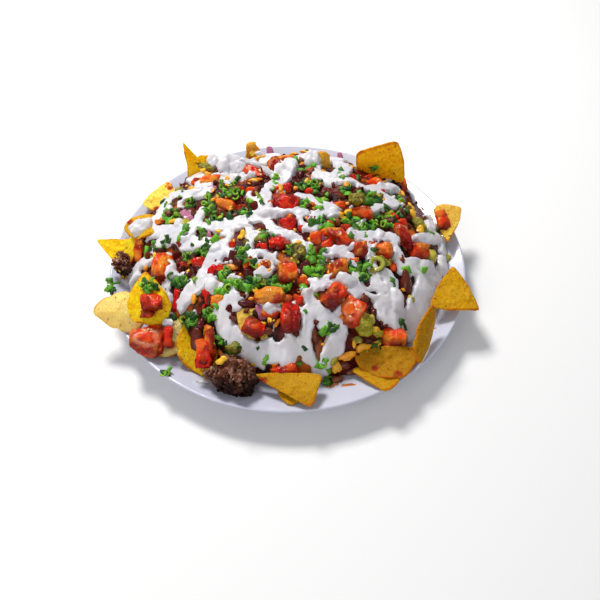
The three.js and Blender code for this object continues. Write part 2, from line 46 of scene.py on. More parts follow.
SENSOR = 36.0
LOOK_DOWN = math.radians(50.35)
EYE_REACH = 634.2
AIM = np.array([9.7, -40.4, 22.0])
PIXEL_SIZE = 0.8
FORESHORTENING = 0.77

AHEAD = np.array([0.0, math.cos(LOOK_DOWN), -math.sin(LOOK_DOWN)])
UPWARD = np.array([0.0, math.sin(LOOK_DOWN), math.cos(LOOK_DOWN)])
EYE = AIM - EYE_REACH * AHEAD

camera = bpy.data.objects.new("camera", bpy.data.cameras.new("camera"))
camera.data.lens = LENS
camera.data.sensor_width = SENSOR
camera.data.clip_start = 0.01
camera.location = Vector(EYE / 1000)
camera.rotation_euler = (math.pi / 2 - LOOK_DOWN, 0, 0)
bpy.context.scene.collection.objects.link(camera)
bpy.context.scene.camera = camera


def sight_line(px, py):
    """Unit vectors from the eye through points of the picture: the way ahead, plus the offset from the
    picture's middle."""
    px = np.asarray(px, float)[..., None] - PICTURE_SIZE / 2
    py = PICTURE_SIZE / 2 - np.asarray(py, float)[..., None]
    line = AHEAD * PICTURE_SIZE * LENS / SENSOR + px * np.array([1.0, 0, 0]) + py * UPWARD
    return line / np.linalg.norm(line, axis=-1, keepdims=True)


def at_height(px, py, z):
    """The points seen at px, py at known heights: the eye plus the sight line, stretched down to z."""
    line = sight_line(px, py)
    return EYE + line * ((np.asarray(z, float) - EYE[2]) / line[..., 2])[..., None]


# The plate. It is glazed white stoneware about 280 mm across, turned on a wheel, with a shallow well,
# a sloping rim with a soft round lip, and a flat foot ring with one groove inside it.
PLATE_RADIUS = 140.0
PLATE_HEIGHT = 22.0
WELL_RADIUS = 88.0
WELL_HEIGHT = 6.0
SHOULDER_RADIUS = 118.0
SHOULDER_HEIGHT = 14.0
PLATE_WALL = 4.5
FOOT_RADIUS = 84.0
GLAZE = (0.55, 0.57, 0.70)
GLAZE_LIGHT = (0.60, 0.61, 0.72)


def plate_top(radius):
    """Height of the plate's upper face: flat in the well, a power curve up to the shoulder, then straight
    to the lip."""
    share = np.clip((radius - WELL_RADIUS) / (SHOULDER_RADIUS - WELL_RADIUS), 0, 1)
    curve = WELL_HEIGHT + (SHOULDER_HEIGHT - WELL_HEIGHT) * share ** 1.5
    rise = np.clip((radius - SHOULDER_RADIUS) / (PLATE_RADIUS - SHOULDER_RADIUS), 0, 1)
    return curve + (PLATE_HEIGHT - SHOULDER_HEIGHT) * rise


def make_piece(name, points, faces, material, replaced=(), tones=None):
    """A closed smooth piece from points in millimetres and arrays of faces, which are all turned round
    where the volume that they hold comes out negative. It rides on the one body."""
    points = np.asarray(points, float)
    fans = [group[:, [0, k, k + 1]] for group in faces for k in range(1, group.shape[1] - 1)]
    first, second, third = np.moveaxis(points[np.concatenate(fans)], 1, 0)
    if np.sum(first * np.cross(second, third)) < 0:
        faces = [group[:, ::-1] for group in faces]
    corners = np.concatenate([group.ravel() for group in faces])
    sides = np.concatenate([np.full(len(group), group.shape[1]) for group in faces])
    mesh = bpy.data.meshes.new(name)
    mesh.vertices.add(len(points))
    mesh.vertices.foreach_set("co", (points / 1000).astype(np.float32).ravel())
    mesh.loops.add(len(corners))
    mesh.loops.foreach_set("vertex_index", corners.astype(np.int32))
    mesh.polygons.add(len(sides))
    mesh.polygons.foreach_set("loop_start", (np.cumsum(sides) - sides).astype(np.int32))
    mesh.update(calc_edges=True)
    mesh.shade_smooth()
    for label, values in (tones or {}).items():
        attribute = mesh.attributes.new(label, "FLOAT", "POINT")
        attribute.data.foreach_set("value", np.asarray(values, np.float32))
    mesh.materials.append(material)
    piece = bpy.data.objects.new(name, mesh)
    bpy.context.scene.collection.objects.link(piece)
    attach(piece, "root")
    if replaced:
        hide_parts(*replaced)
    return piece


def band_faces(rows, columns, closed=True):
    """Quads between rows of a grid whose columns run round, or stop at the last one if not closed."""
    row = np.arange(rows - 1)[:, None] * columns
    column = np.arange(columns if closed else columns - 1)[None, :]
    beside = (column + 1) % columns
    quads = [row + column, row + beside, row + columns + beside, row + columns + column]
    return np.stack(quads, axis=-1).reshape(-1, 4)


def capped_faces(rows, columns):
    """Faces of a closed skin: a point, rows of points that run round, and a last point."""
    ring = np.arange(columns)
    beside = (ring + 1) % columns
    first = np.stack([np.zeros(columns, int), beside + 1, ring + 1], axis=-1)
    base = 1 + (rows - 1) * columns
    last = np.stack([np.full(columns, 1 + rows * columns), base + ring, base + beside], axis=-1)
    return [first, band_faces(rows, columns) + 1, last]


class Finish:
    """A procedural material: one shader, and short calls for the patterns that feed it."""

    def __init__(self, name, roughness, **sockets):
        self.material = bpy.data.materials.new(name)
        self.material.use_nodes = True
        self.tree = self.material.node_tree
        self.shader = self.tree.nodes["Principled BSDF"]
        self.shader.inputs["Roughness"].default_value = roughness
        for label, value in sockets.items():
            self.shader.inputs[label.replace("_", " ")].default_value = value
        self.coordinates = self.tree.nodes.new("ShaderNodeTexCoord").outputs["Object"]
        self.bump = None

    def feed(self, socket, value):
        """Links value to a socket where it is another socket, or else sets it."""
        if isinstance(value, bpy.types.NodeSocket):
            self.tree.links.new(value, socket)
        elif isinstance(value, tuple):
            socket.default_value = (*value, 1.0)
        else:
            socket.default_value = value

    def noise(self, millimetres, low=0.35, high=0.65, detail=3.0, rough=0.55, warp=0.0):
        """Cloudy pattern from 0 to 1 with features of about this many millimetres."""
        texture = self.tree.nodes.new("ShaderNodeTexNoise")
        texture.inputs["Scale"].default_value = 1000 / millimetres / 2
        texture.inputs["Detail"].default_value = detail
        texture.inputs["Roughness"].default_value = rough
        texture.inputs["Distortion"].default_value = warp
        self.tree.links.new(self.coordinates, texture.inputs["Vector"])
        return self.span(texture.outputs["Fac"], low, high)

    def span(self, socket, low, high):
        """The share of the way from low to high, eased, kept between 0 and 1."""
        ranged = self.tree.nodes.new("ShaderNodeMapRange")
        ranged.interpolation_type = "SMOOTHSTEP"
        ranged.inputs["From Min"].default_value = low
        ranged.inputs["From Max"].default_value = high
        self.tree.links.new(socket, ranged.inputs["Value"])
        return ranged.outputs["Result"]

    def attribute(self, label):
        """A number that the mesh carries at its points."""
        reader = self.tree.nodes.new("ShaderNodeAttribute")
        reader.attribute_name = label
        return reader.outputs["Fac"]

    def times(self, first, second):
        """The product of two shares."""
        maths = self.tree.nodes.new("ShaderNodeMath")
        maths.operation = "MULTIPLY"
        self.feed(maths.inputs[0], first)
        self.feed(maths.inputs[1], second)
        return maths.outputs["Value"]

    def mix(self, share, first, second):
        """The colour first where share is 0 and second where it is 1."""
        mixer = self.tree.nodes.new("ShaderNodeMix")
        mixer.data_type = "RGBA"
        self.feed(mixer.inputs["Factor"], share)
        self.feed(mixer.inputs["A"], first)
        self.feed(mixer.inputs["B"], second)
        return mixer.outputs["Result"]

    def colour(self, value):
        self.feed(self.shader.inputs["Base Color"], value)

    def roughness(self, share, low, high):
        """Roughness low where share is 0 and high where it is 1."""
        ranged = self.tree.nodes.new("ShaderNodeMapRange")
        ranged.inputs["To Min"].default_value = low
        ranged.inputs["To Max"].default_value = high
        self.tree.links.new(share, ranged.inputs["Value"])
        self.tree.links.new(ranged.outputs["Result"], self.shader.inputs["Roughness"])

    def relief(self, share, millimetres, strength=1.0):
        """Fine relief in the light, this high where share is 1, over any relief given before."""
        bump = self.tree.nodes.new("ShaderNodeBump")
        bump.inputs["Strength"].default_value = strength
        bump.inputs["Distance"].default_value = millimetres / 1000
        self.tree.links.new(share, bump.inputs["Height"])
        if self.bump:
            self.tree.links.new(self.bump, bump.inputs["Normal"])
        self.bump = bump.outputs["Normal"]
        self.tree.links.new(self.bump, self.shader.inputs["Normal"])


def smooth_profile(stops, sizes):
    """A profile through stops of radius and height, each bend rounded by a circle of its given size."""
    stops = np.array(stops, float)
    path = [stops[:1]]
    for before, stop, after, size in zip(stops[:-2], stops[1:-1], stops[2:], sizes):
        to_before = (before - stop) / np.linalg.norm(before - stop)
        to_after = (after - stop) / np.linalg.norm(after - stop)
        reach = min(size, np.linalg.norm(before - stop) / 2.1, np.linalg.norm(after - stop) / 2.1)
        share = np.linspace(0, 1, 9)[:, None]
        start = stop + to_before * reach
        end = stop + to_after * reach
        path.append((1 - share) ** 2 * start + 2 * share * (1 - share) * stop + share ** 2 * end)
    path.append(stops[-1:])
    return np.concatenate(path)


glaze = Finish("white_glaze", 0.16, Coat_Weight=0.35, Coat_Roughness=0.05, Specular_IOR_Level=0.5)
glaze.colour(glaze.mix(glaze.noise(60), GLAZE, GLAZE_LIGHT))
glaze.relief(glaze.noise(9, 0.3, 0.7), 0.05)

slope = np.linspace(WELL_RADIUS, SHOULDER_RADIUS, 8)
lip_drop = PLATE_WALL * 0.55
plate_stops = [
    (0.001, WELL_HEIGHT), (WELL_RADIUS * 0.6, WELL_HEIGHT), *zip(slope, plate_top(slope)),
    (PLATE_RADIUS - 1.2, PLATE_HEIGHT), (PLATE_RADIUS, PLATE_HEIGHT - 0.8),
    (PLATE_RADIUS - 1.5, PLATE_HEIGHT - lip_drop - 1), (SHOULDER_RADIUS + 1, SHOULDER_HEIGHT - PLATE_WALL),
    (WELL_RADIUS + 2, 2.2), (FOOT_RADIUS + 1, 1.8), (FOOT_RADIUS, 0), (76, 0), (75, 1.6), (67, 1.6), (66, 0),
    (0.001, 0),
]
plate_bends = [5, 5, 3, 3, 3, 3, 3, 3, 6, 1.2, 1.1, 4, 12, 8, 1.2, 0.8, 0.8, 0.8, 0.8, 0.8]
profile = smooth_profile(plate_stops, plate_bends)
PLATE_STEPS = 180
turn = np.linspace(0, 2 * np.pi, PLATE_STEPS, endpoint=False)
rings = np.stack([
    profile[1:-1, 0, None] * np.cos(turn), profile[1:-1, 0, None] * np.sin(turn),
    np.repeat(profile[1:-1, 1, None], PLATE_STEPS, axis=1),
], axis=-1)
plate_points = np.concatenate([[[0, 0, WELL_HEIGHT]], rings.reshape(-1, 3), [[0, 0, 0]]])
plate_faces = capped_faces(len(rings), PLATE_STEPS)
make_piece("dinner_plate", plate_points, plate_faces, glaze.material, ["plate"])


# The filling. Seasoned beef, beans, salsa and melted cheese lie in a flat-topped heap over the chips
# inside. It is one crumbly mass, dark red-brown and wet, with orange where the cheese has melted in.
HEAP_RADIUS_X = 127.0
HEAP_RADIUS_Y = 116.0
HEAP_BACK = 8.0
HEAP_SHOULDER = 12.0
HEAP_RISE = 51.0
HEAP_ROWS = 100
HEAP_COLUMNS = 400
SAUCE_DARK = (0.020, 0.004, 0.003)
SAUCE_RED = (0.13, 0.008, 0.004)
SAUCE_ORANGE = (0.55, 0.12, 0.008)


def clouds(points, size, seed=0):
    """Smooth noise from -1 to 1: random values at the corners of cubes of this size, eased between them."""
    spot = np.asarray(points, float) / size + 31.7 * seed
    cell = np.floor(spot).astype(np.int64)
    ease = spot - cell
    ease = ease * ease * (3 - 2 * ease)
    total = 0.0
    for corner in np.ndindex(2, 2, 2):
        near = cell + np.array(corner)
        mixed = near[..., 0] * 374761393 + near[..., 1] * 668265263 + near[..., 2] * 1442695041
        mixed = (mixed ^ (mixed >> 13)) * 1274126177
        value = ((mixed ^ (mixed >> 16)) & 0xFFFF) / 32767.5 - 1
        total = total + value * np.prod(np.where(corner, ease, 1 - ease), axis=-1)
    return total


def heap_share(x, y):
    """Share of the way from the heap's middle to its oval edge."""
    return np.hypot(x / HEAP_RADIUS_X, (y - HEAP_BACK) / HEAP_RADIUS_Y)


def heap_top(x, y):
    """Height of the heap: a power-curve dome, plus waves that fade towards its edge."""
    share = np.clip(heap_share(x, y), 0, 1)
    dome = HEAP_SHOULDER + HEAP_RISE * (1 - share ** 2.5) ** 0.6
    swell = 2.2 * np.sin(x / 15 + 0.8) * np.cos(y / 13) + 1.2 * np.sin((x + 2 * y) / 17)
    return dome + swell * (1 - share ** 4)


def ground_top(x, y):
    """The higher of the heap and the plate."""
    plate = plate_top(np.hypot(x, y))
    return np.where(heap_share(x, y) < 1, np.maximum(heap_top(x, y), plate), plate)


def ground_normal(x, y):
    """Unit normal of the ground, from its height half a millimetre away."""
    across = ground_top(x + 0.5, y) - ground_top(x - 0.5, y)
    along = ground_top(x, y + 0.5) - ground_top(x, y - 0.5)
    normal = np.stack([-across, -along, np.ones_like(across)], axis=-1)
    return normal / np.linalg.norm(normal, axis=-1, keepdims=True)


def heap_lumps(x, y):
    """Lumps of the filling over its even top: three sizes of cloud, the larger the higher."""
    flat = np.stack([x, y, np.zeros_like(x)], axis=-1)
    return 1.3 * clouds(flat, 8, 1) + 1.1 * clouds(flat, 4, 2) + 0.5 * clouds(flat, 2, 3)


def on_heap(px, py, lift=0.0):
    """The points of the ground seen at px, py, found by steps along the sight line, moved back by lift."""
    line = sight_line(px, py)
    points = at_height(px, py, HEAP_SHOULDER + HEAP_RISE + 6)
    while True:
        above = points[..., 2] > ground_top(points[..., 0], points[..., 1])
        if not above.any():
            return points - line * np.asarray(lift, float)[..., None]
        points = points + line * 0.4 * above[..., None]


filling = Finish("wet_filling", 0.35, Specular_IOR_Level=0.2)
brown = filling.mix(filling.noise(9, 0.38, 0.62, 4), SAUCE_DARK, SAUCE_RED)
filling.colour(filling.mix(filling.noise(14, 0.54, 0.66, 3), brown, SAUCE_ORANGE))
filling.roughness(filling.noise(5), 0.15, 0.4)
filling.relief(filling.noise(2.4, 0.3, 0.7, 4), 0.8)

share = np.linspace(0, 1, HEAP_ROWS + 1)[1:, None]
turn = np.linspace(0, 2 * np.pi, HEAP_COLUMNS, endpoint=False)
x = share * HEAP_RADIUS_X * np.cos(turn)
y = share * HEAP_RADIUS_Y * np.sin(turn) + HEAP_BACK
top = np.stack([x, y, heap_top(x, y) + heap_lumps(x, y) * (1 - share ** 6)], axis=-1)
under_rows = [99, 80, 60, 30]
under = np.stack([x, y, plate_top(np.hypot(x, y)) - 2], axis=-1)[under_rows]
centre = heap_top(0.0, HEAP_BACK)
heap_points = np.concatenate([
    [[0, HEAP_BACK, centre]], top.reshape(-1, 3), under.reshape(-1, 3), [[0, HEAP_BACK, WELL_HEIGHT - 2]],
])
make_piece("filling", heap_points, capped_faces(HEAP_ROWS + len(under_rows), HEAP_COLUMNS),
           filling.material, ["heap"])


# The corn chips. They are cut from a thin sheet of corn dough, so each is a triangle with bowed edges or
# what a break left of one, curled as it fried, two millimetres thick, blistered and toasted at its edges.
CHIP_THICKNESS = 2.2
CHIP_COLUMNS = 96
CHIP_ROWS = 22
RIM_ROWS = 5
CORN_GOLD = (0.98, 0.68, 0.003)
CORN_DEEP = (0.80, 0.38, 0.002)
CORN_PALE = (0.98, 0.70, 0.03)
CORN_BROWN = (0.36, 0.150, 0.002)
CORN_CREAM = (0.90, 0.72, 0.34)
CORN_TOAST = (0.45, 0.13, 0.003)
CORN_SPECK = (0.20, 0.06, 0.003)
SALSA_STAIN = (0.32, 0.030, 0.004)

# Each holds its corners in the picture as px, py and height, the two corners that its curl runs between,
# how far it curls, how far its edges bow, how brown it is and how pale it is, from 0 to 1. The brown share
# is partly toasting and partly painted shade on the chips that lie in shade at the front and right, and
# the paleness of the folded chip at the left is partly painted glare.
CHIPS = [
    ([(356, 152, 62), (397.5, 140.5, 68), (404, 181, 24), (363, 184, 24)], (0, 3), 3, 2.5, 0.0, 0.0),
    ([(180, 142, 64), (192, 158, 50), (216, 155, 58), (214, 190, 30), (187, 186, 24)],
     (0, 4), -7, -1, 0.0, 0.0),
    ([(143, 203, 25), (170, 182, 33), (178, 204, 40), (158, 214, 30)], (0, 1), 3, 2, 0.0, 0.3),
    ([(125, 230, 24), (155, 215, 34), (166, 236, 42), (138, 244, 32)], (0, 3), 6, 1, 0.6, 0.0),
    ([(94, 238, 27), (142, 235, 37), (124, 282, 21)], (0, 1), -3, -1.5, 0.0, 0.0),
    ([(95, 313, 26), (112, 296, 31), (131, 291, 36), (152, 318, 31), (138, 333, 21), (119, 331, 20)],
     (0, 3), 7, 1, 0.0, 0.7),
    ([(147, 271, 48), (128, 298, 40), (133, 322, 31), (165, 327, 30), (172, 300, 44)],
     (0, 2), 5, 1, 0.0, 0.0),
    ([(186, 312, 44), (175, 350, 28), (202, 380, 20), (217, 350, 33)], (0, 2), -9, 3, 0.2, 0.0),
    ([(251, 377, 21), (323, 375, 27), (313, 410, 23)], (0, 2), 4, 0.5, 0.8, 0.0),
    ([(276, 386, 16), (289, 407, 21), (308, 392, 19)], (0, 1), 1, 2, 0.7, 0.0),
    ([(354, 350, 28), (422, 346, 25), (404, 378, 27), (366, 373, 22)], (0, 1), -2, 2, 1.0, 0.0),
    ([(350, 371, 17), (386, 393, 24), (402, 379, 23.5), (372, 364, 18)], (0, 2), 1, 1, 0.8, 0.0),
    ([(429, 302, 42), (432, 331, 25), (414, 366, 22), (412, 336, 36)], (0, 2), 4, 2, 0.9, 0.0),
    ([(452, 267, 31), (480, 312, 24), (428, 308, 28)], (0, 1), 3, 2, 0.65, 0.0),
    ([(432, 208, 35), (462, 208, 31), (447, 245, 28)], (0, 2), 2, 2, 0.2, 0.3),
    ([(307, 155, 59), (327, 151, 60), (330, 174, 44), (306, 177, 48)], (0, 3), 3, 1, 0.4, 0.3),
    ([(237, 309, 47), (273, 312, 47), (264, 355, 30), (244, 339, 37)], (0, 1), 1.5, 2, 0.2, 0.4),
    ([(160, 320, 27), (184, 322, 33), (178, 356, 18), (146, 353, 22)], (0, 3), 2, 2, 0.1, 1.0),
    ([(247, 141, 52), (258, 143, 51), (262, 160, 36), (246, 160, 36)], (0, 3), 2, 0.5, 0.3, 0.3),
    ([(298, 154, 46), (331, 158, 42), (316, 156, 22)], (0, 1), 2, 2, 0.2, 0.4),
]


def chip_surface(corners, line, curl, bow, seed):
    """Points of a chip, and how near its edge each is. The outline runs from corner to corner, each edge
    bowed out by a parabola and each corner blunted. Inside it the sheet is lifted by a parabola about the
    curl's line, by slow waves and by round blisters. The two faces lie half the thickness off it, and half
    a circle joins them round the rim."""
    tips = np.array([at_height(*corner) for corner in corners])
    middle = tips.mean(axis=0)
    after = np.roll(tips, -1, axis=0)
    normal = np.cross(tips - middle, after - middle).sum(axis=0)
    normal /= np.linalg.norm(normal)
    normal *= -np.sign(normal @ AHEAD)
    along = tips[line[1]] - tips[line[0]]
    along -= normal * (along @ normal)
    along /= np.linalg.norm(along)
    across = np.cross(normal, along)
    reach = np.abs((tips - middle) @ across).max()

    place = np.linspace(0, len(tips), CHIP_COLUMNS, endpoint=False)
    edge = place.astype(int)
    part = (place - edge)[:, None]
    outline = tips[edge] * (1 - part) + after[edge] * part - middle
    blunt = np.minimum(part, 1 - part) * np.linalg.norm(after - tips, axis=1)[edge][:, None]
    ragged = 0.5 * clouds(outline + middle, 5, seed)[:, None]
    outward = bow * 4 * part * (1 - part) - 1.6 * np.exp(-((blunt / 2.5) ** 2)) + ragged
    outline = outline + outline / np.linalg.norm(outline, axis=1, keepdims=True) * outward

    share = np.linspace(0, 1, CHIP_ROWS + 1)[1:] ** 0.8
    turn = np.linspace(0, np.pi, RIM_ROWS + 2)[1:-1]
    half = CHIP_THICKNESS / 2
    size = np.linalg.norm(outline, axis=1).mean()
    inner = share * (1 - half / size)
    shares = np.concatenate([inner, 1 - half / size * (1 - np.sin(turn)), inner[::-1]])
    sides = np.concatenate([np.ones(CHIP_ROWS), np.cos(turn), -np.ones(CHIP_ROWS)])
    flat = shares[:, None, None] * outline
    flat = np.concatenate([[[0, 0, 0]], flat.reshape(-1, 3), [[0, 0, 0]]])
    side = np.concatenate([[1], np.repeat(sides, CHIP_COLUMNS), [-1]])[:, None]
    offset = flat @ across
    lean = normal + (2 * curl * offset / reach ** 2)[:, None] * across
    lean /= np.linalg.norm(lean, axis=1, keepdims=True)
    spot = flat + middle
    waves = 0.9 * clouds(spot, 13, seed) + 0.35 * clouds(spot, 5, seed + 3)
    blister = np.clip(clouds(spot, 4.2, seed + 7) - 0.35, 0, 1) ** 0.7 * 1.3
    nearness = np.concatenate([[0], np.repeat(shares, CHIP_COLUMNS), [0]])
    height = curl * (1 - (offset / reach) ** 2) + waves
    blistered = half + (blister * (1 - nearness ** 4))[:, None]
    points = spot + normal * height[:, None] + lean * side * blistered
    return points, nearness, blister


# Wet salsa has stained the chips here: px, py and the stain's radius in pixels.
STAINS = [
    (200, 338, 10), (207, 172, 8), (212, 184, 6), (157, 209, 5), (170, 188, 4), (130, 222, 5),
    (439, 218, 7), (398, 374, 6), (124, 262, 12), (152, 311, 7), (255, 330, 9), (170, 345, 8),
    (262, 380, 7), (375, 368, 5),
]


def stained(points):
    """How stained each point is, 0 to 1, by its nearest stain's distance in the picture."""
    away = points - EYE
    ahead = away @ AHEAD
    scale = PICTURE_SIZE * LENS / SENSOR / ahead
    px = PICTURE_SIZE / 2 + away[:, 0] * scale
    py = PICTURE_SIZE / 2 - (away @ UPWARD) * scale
    shares = [np.hypot(px - x, (py - y) / FORESHORTENING) / radius for x, y, radius in STAINS]
    nearest = np.min(shares, axis=0)
    return np.clip(2 - 2 * nearest, 0, 1)


def keep_above_plate(points, clearance=0.3):
    """The same points, none lower than just above the plate's upper face."""
    lowest = plate_top(np.hypot(points[:, 0], points[:, 1])) + clearance
    points[:, 2] = np.where(np.hypot(points[:, 0], points[:, 1]) < PLATE_RADIUS + 2,
                            np.maximum(points[:, 2], lowest), points[:, 2])
    return points


corn = Finish("fried_corn", 0.6, Specular_IOR_Level=0.1, Subsurface_Weight=0.85, Subsurface_Scale=0.005,
              Subsurface_Radius=(1.0, 0.65, 0.05))
brownness = corn.attribute("brownness")
grain = corn.mix(corn.noise(1.1, 0.3, 0.7, 4), CORN_GOLD, CORN_DEEP)
gold = corn.mix(corn.times(corn.noise(16, 0.45, 0.7, 2), 0.6), grain, CORN_PALE)
gold = corn.mix(corn.times(corn.attribute("blister"), 0.4), gold, CORN_PALE)
# Painted light: the pale share lightens whole chips towards cream. On the folded chip at the left it stands
# partly for glare.
gold = corn.mix(corn.times(corn.attribute("pale"), 0.8), gold, CORN_CREAM)
# Painted shade: the brown share darkens whole chips. On the chips at the front and right it is partly painted
# shade rather than toasting.
browned = corn.mix(corn.times(brownness, 0.9), gold, CORN_BROWN)
rim_toast = corn.times(corn.span(corn.attribute("edge"), 0.86, 1.0), corn.noise(6, 0.35, 0.6))
toasted = corn.mix(rim_toast, browned, CORN_TOAST)
specked = corn.mix(corn.times(corn.noise(1.6, 0.64, 0.70, 2), 0.8), toasted, CORN_SPECK)
corn.colour(corn.mix(corn.times(corn.attribute("stain"), corn.noise(3, 0.3, 0.5)), specked, SALSA_STAIN))
corn.relief(corn.noise(1.2, 0.3, 0.7, 4), 0.35)
corn.relief(corn.noise(4, 0.4, 0.7, 2), 0.5)

for number, (corners, line, curl, bow, brown, pale) in enumerate(CHIPS, 1):
    points, nearness, blister = chip_surface(corners, line, curl, bow, number)
    rows = 2 * CHIP_ROWS + RIM_ROWS
    half_way = len(points) // 2
    points = keep_above_plate(points)
    points[:half_way, 2] = keep_above_plate(points[:half_way].copy(), CHIP_THICKNESS)[:, 2]
    make_piece(f"corn_chip_{number}", points, capped_faces(rows, CHIP_COLUMNS), corn.material,
               [f"tortilla_chip_{number}"],
               {"edge": nearness, "blister": blister, "brownness": np.full(len(points), brown),
                "pale": np.full(len(points), pale), "stain": stained(points)})


# The tomato. Ripe tomatoes are diced by knife into uneven cubes and short strips: wet red flesh with
# paler veins on the cut faces, smooth skin on one side and a few flat seeds.
TOMATO_RED = (0.60, 0.004, 0.003)
TOMATO_ORANGE = (0.82, 0.085, 0.006)
TOMATO_VEIN = (0.88, 0.20, 0.04)
TOMATO_GOLD = (0.90, 0.36, 0.03)
TOMATO_PULP = (0.93, 0.40, 0.25)
# Dark crimson: random dark patches of the flesh, and painted shade on each piece's lower side in the view.
TOMATO_DEEP = (0.13, 0.002, 0.003)
SEED_COLOUR = (0.85, 0.55, 0.22)
DICE_STEPS = 16
SLICE_STEPS = 36
DICE_ROUND = 0.45
SLICE_ROUND = 0.7
SLICES = (17,)
SEEDED = (1, 17, 23)
DICE_CUTS = 4
DICE_CUT_AT = 0.76
SEED_COUNT = 14

# Each holds px, py, half its width and half its height on the picture, half its depth in millimetres,
# its turn about the vertical, how orange it is, and a height where it doesn't lie on the heap.
TOMATOES = [
    (256, 173, 12, 7, 4, -0.6, 0.15, None, 3.5), (275, 167, 7, 9, 5, 0.3, 0.4, None, 3.5),
    (285, 205, 12, 8, 6, -0.2, 0.1, None, 3.5), (279, 243, 8, 6, 5, 0.4, 0.1, None, 3.5),
    (288, 273, 8, 9, 6, 0.1, 0.7, None, 3.5), (340, 237, 12, 7, 5, -0.3, 0.6, None, 3.5),
    (359, 249, 8, 8, 5, -0.5, 0.8, None, 3.5), (384, 252, 8, 7, 5, 0, 0.5, None, 3.5),
    (338, 270, 9, 8, 5, 0.2, 0.6, None, 3.5), (403, 236, 6, 14, 6, 0.3, 0.3, None, 3.5),
    (418, 252, 9, 7, 6, -0.3, 0.5, None, 3.5), (443, 221, 6, 9, 3, 0.2, 0.5, 35.5, 2),
    (374, 183, 7, 6, 5, 0.4, 0.4, None, 3.5), (362, 213, 10, 7, 5, -0.2, 0.3, None, 3.5),
    (163, 268, 9, 12, 6, -0.2, 0.8, None, 3.5), (151, 302, 9, 7, 5, 0.1, 0.2, 48, 2),
    (148, 338, 14, 13, 4.5, -0.3, 0.3, 29, 2), (206, 352, 8, 11, 5, 0.2, 0.3, 34, 2),
    (254, 328, 9, 7, 5, -0.4, 0.1, None, 5), (270, 297, 12, 7, 6, 0.1, 0.9, None, 3.5),
    (291, 318, 8, 14, 5, 0, 0.1, None, 3.5), (334, 296, 8, 11, 6, -0.7, 0.4, None, 3.5),
    (352, 312, 10, 12, 6, -0.5, 0.3, None, 3.5), (393, 339, 11, 11, 7, -0.3, 0.6, None, 3),
    (284, 371, 11, 7, 6, 0, 0.2, None, 3.5),
]


def cube_skin(steps):
    """Points and quads over the six faces of a cube from -1 to 1, shared along its edges."""
    line = np.linspace(-1, 1, steps + 1)
    first, second = (grid.ravel() for grid in np.meshgrid(line, line, indexing="ij"))
    level = np.ones_like(first)
    sheets = []
    for axis in range(3):
        for sign in (-1, 1):
            sheet = np.stack([sign * level, first, sign * second], axis=-1)
            sheets.append(np.roll(sheet, axis, axis=-1))
    points, shared = np.unique(np.round(np.concatenate(sheets), 6), axis=0, return_inverse=True)
    quads = band_faces(steps + 1, steps + 1, closed=False)
    faces = np.concatenate([quads + k * (steps + 1) ** 2 for k in range(6)])
    return points, shared.ravel()[faces]


def turned(about_x, about_y, about_z):
    """The matrix that turns about z first, then y, then x."""
    turns = []
    for axis, angle in ((0, about_x), (1, about_y), (2, about_z)):
        turns.append(np.array(Matrix.Rotation(angle, 3, "XYZ"[axis])))
    return turns[0] @ turns[1] @ turns[2]


def dice(points, centre, half, turn, seed, rough=0.1, round_power=DICE_ROUND):
    """A cube's points with corners drawn in by a power of their distance, then cut by a few planes at a
    slant as a knife leaves them, made uneven and turned."""
    swell = (0.98 + 0.3 * round_power) / np.linalg.norm(points, axis=1, keepdims=True) ** round_power
    uneven = 1 + rough * (clouds(points, 0.8, seed) + 0.6 * clouds(points, 0.35, seed + 1))[:, None]
    points = points * swell
    cuts = np.random.default_rng(seed)
    for _ in range(DICE_CUTS):
        way = cuts.choice([-1, 1], 3) * (0.35 + cuts.random(3))
        way /= np.linalg.norm(way)
        beyond = np.maximum(points @ way - DICE_CUT_AT - 0.2 * cuts.random(), 0)
        points = points - beyond[:, None] * way
    return (points * uneven * half) @ turned(*turn).T + centre


tomato = Finish("tomato_flesh", 0.14, Specular_IOR_Level=0.2, Subsurface_Weight=0.05,
                Subsurface_Scale=0.002)
flesh = tomato.mix(tomato.attribute("orange"), TOMATO_RED, TOMATO_ORANGE)
flesh = tomato.mix(tomato.times(tomato.noise(8, 0.49, 0.6, 2), 0.7), flesh, TOMATO_DEEP)
heart = tomato.times(tomato.noise(5, 0.46, 0.6, 2), tomato.attribute("orange"))
flesh = tomato.mix(tomato.times(heart, 0.8), flesh, TOMATO_GOLD)
veins = tomato.times(tomato.noise(5, 0.52, 0.68, 3, warp=1.2), tomato.attribute("cut"))
flesh = tomato.mix(tomato.times(veins, 0.3), flesh, TOMATO_VEIN)
flesh = tomato.mix(tomato.times(tomato.attribute("pulp"), tomato.noise(3, 0.3, 0.55)), flesh, TOMATO_PULP)
# Painted shade: each piece is painted darker crimson towards its lower side in the view.
tomato.colour(tomato.mix(tomato.attribute("under"), flesh, TOMATO_DEEP))
tomato.roughness(tomato.noise(3), 0.06, 0.2)
tomato.relief(tomato.noise(2.2, 0.3, 0.7, 3), 0.6)

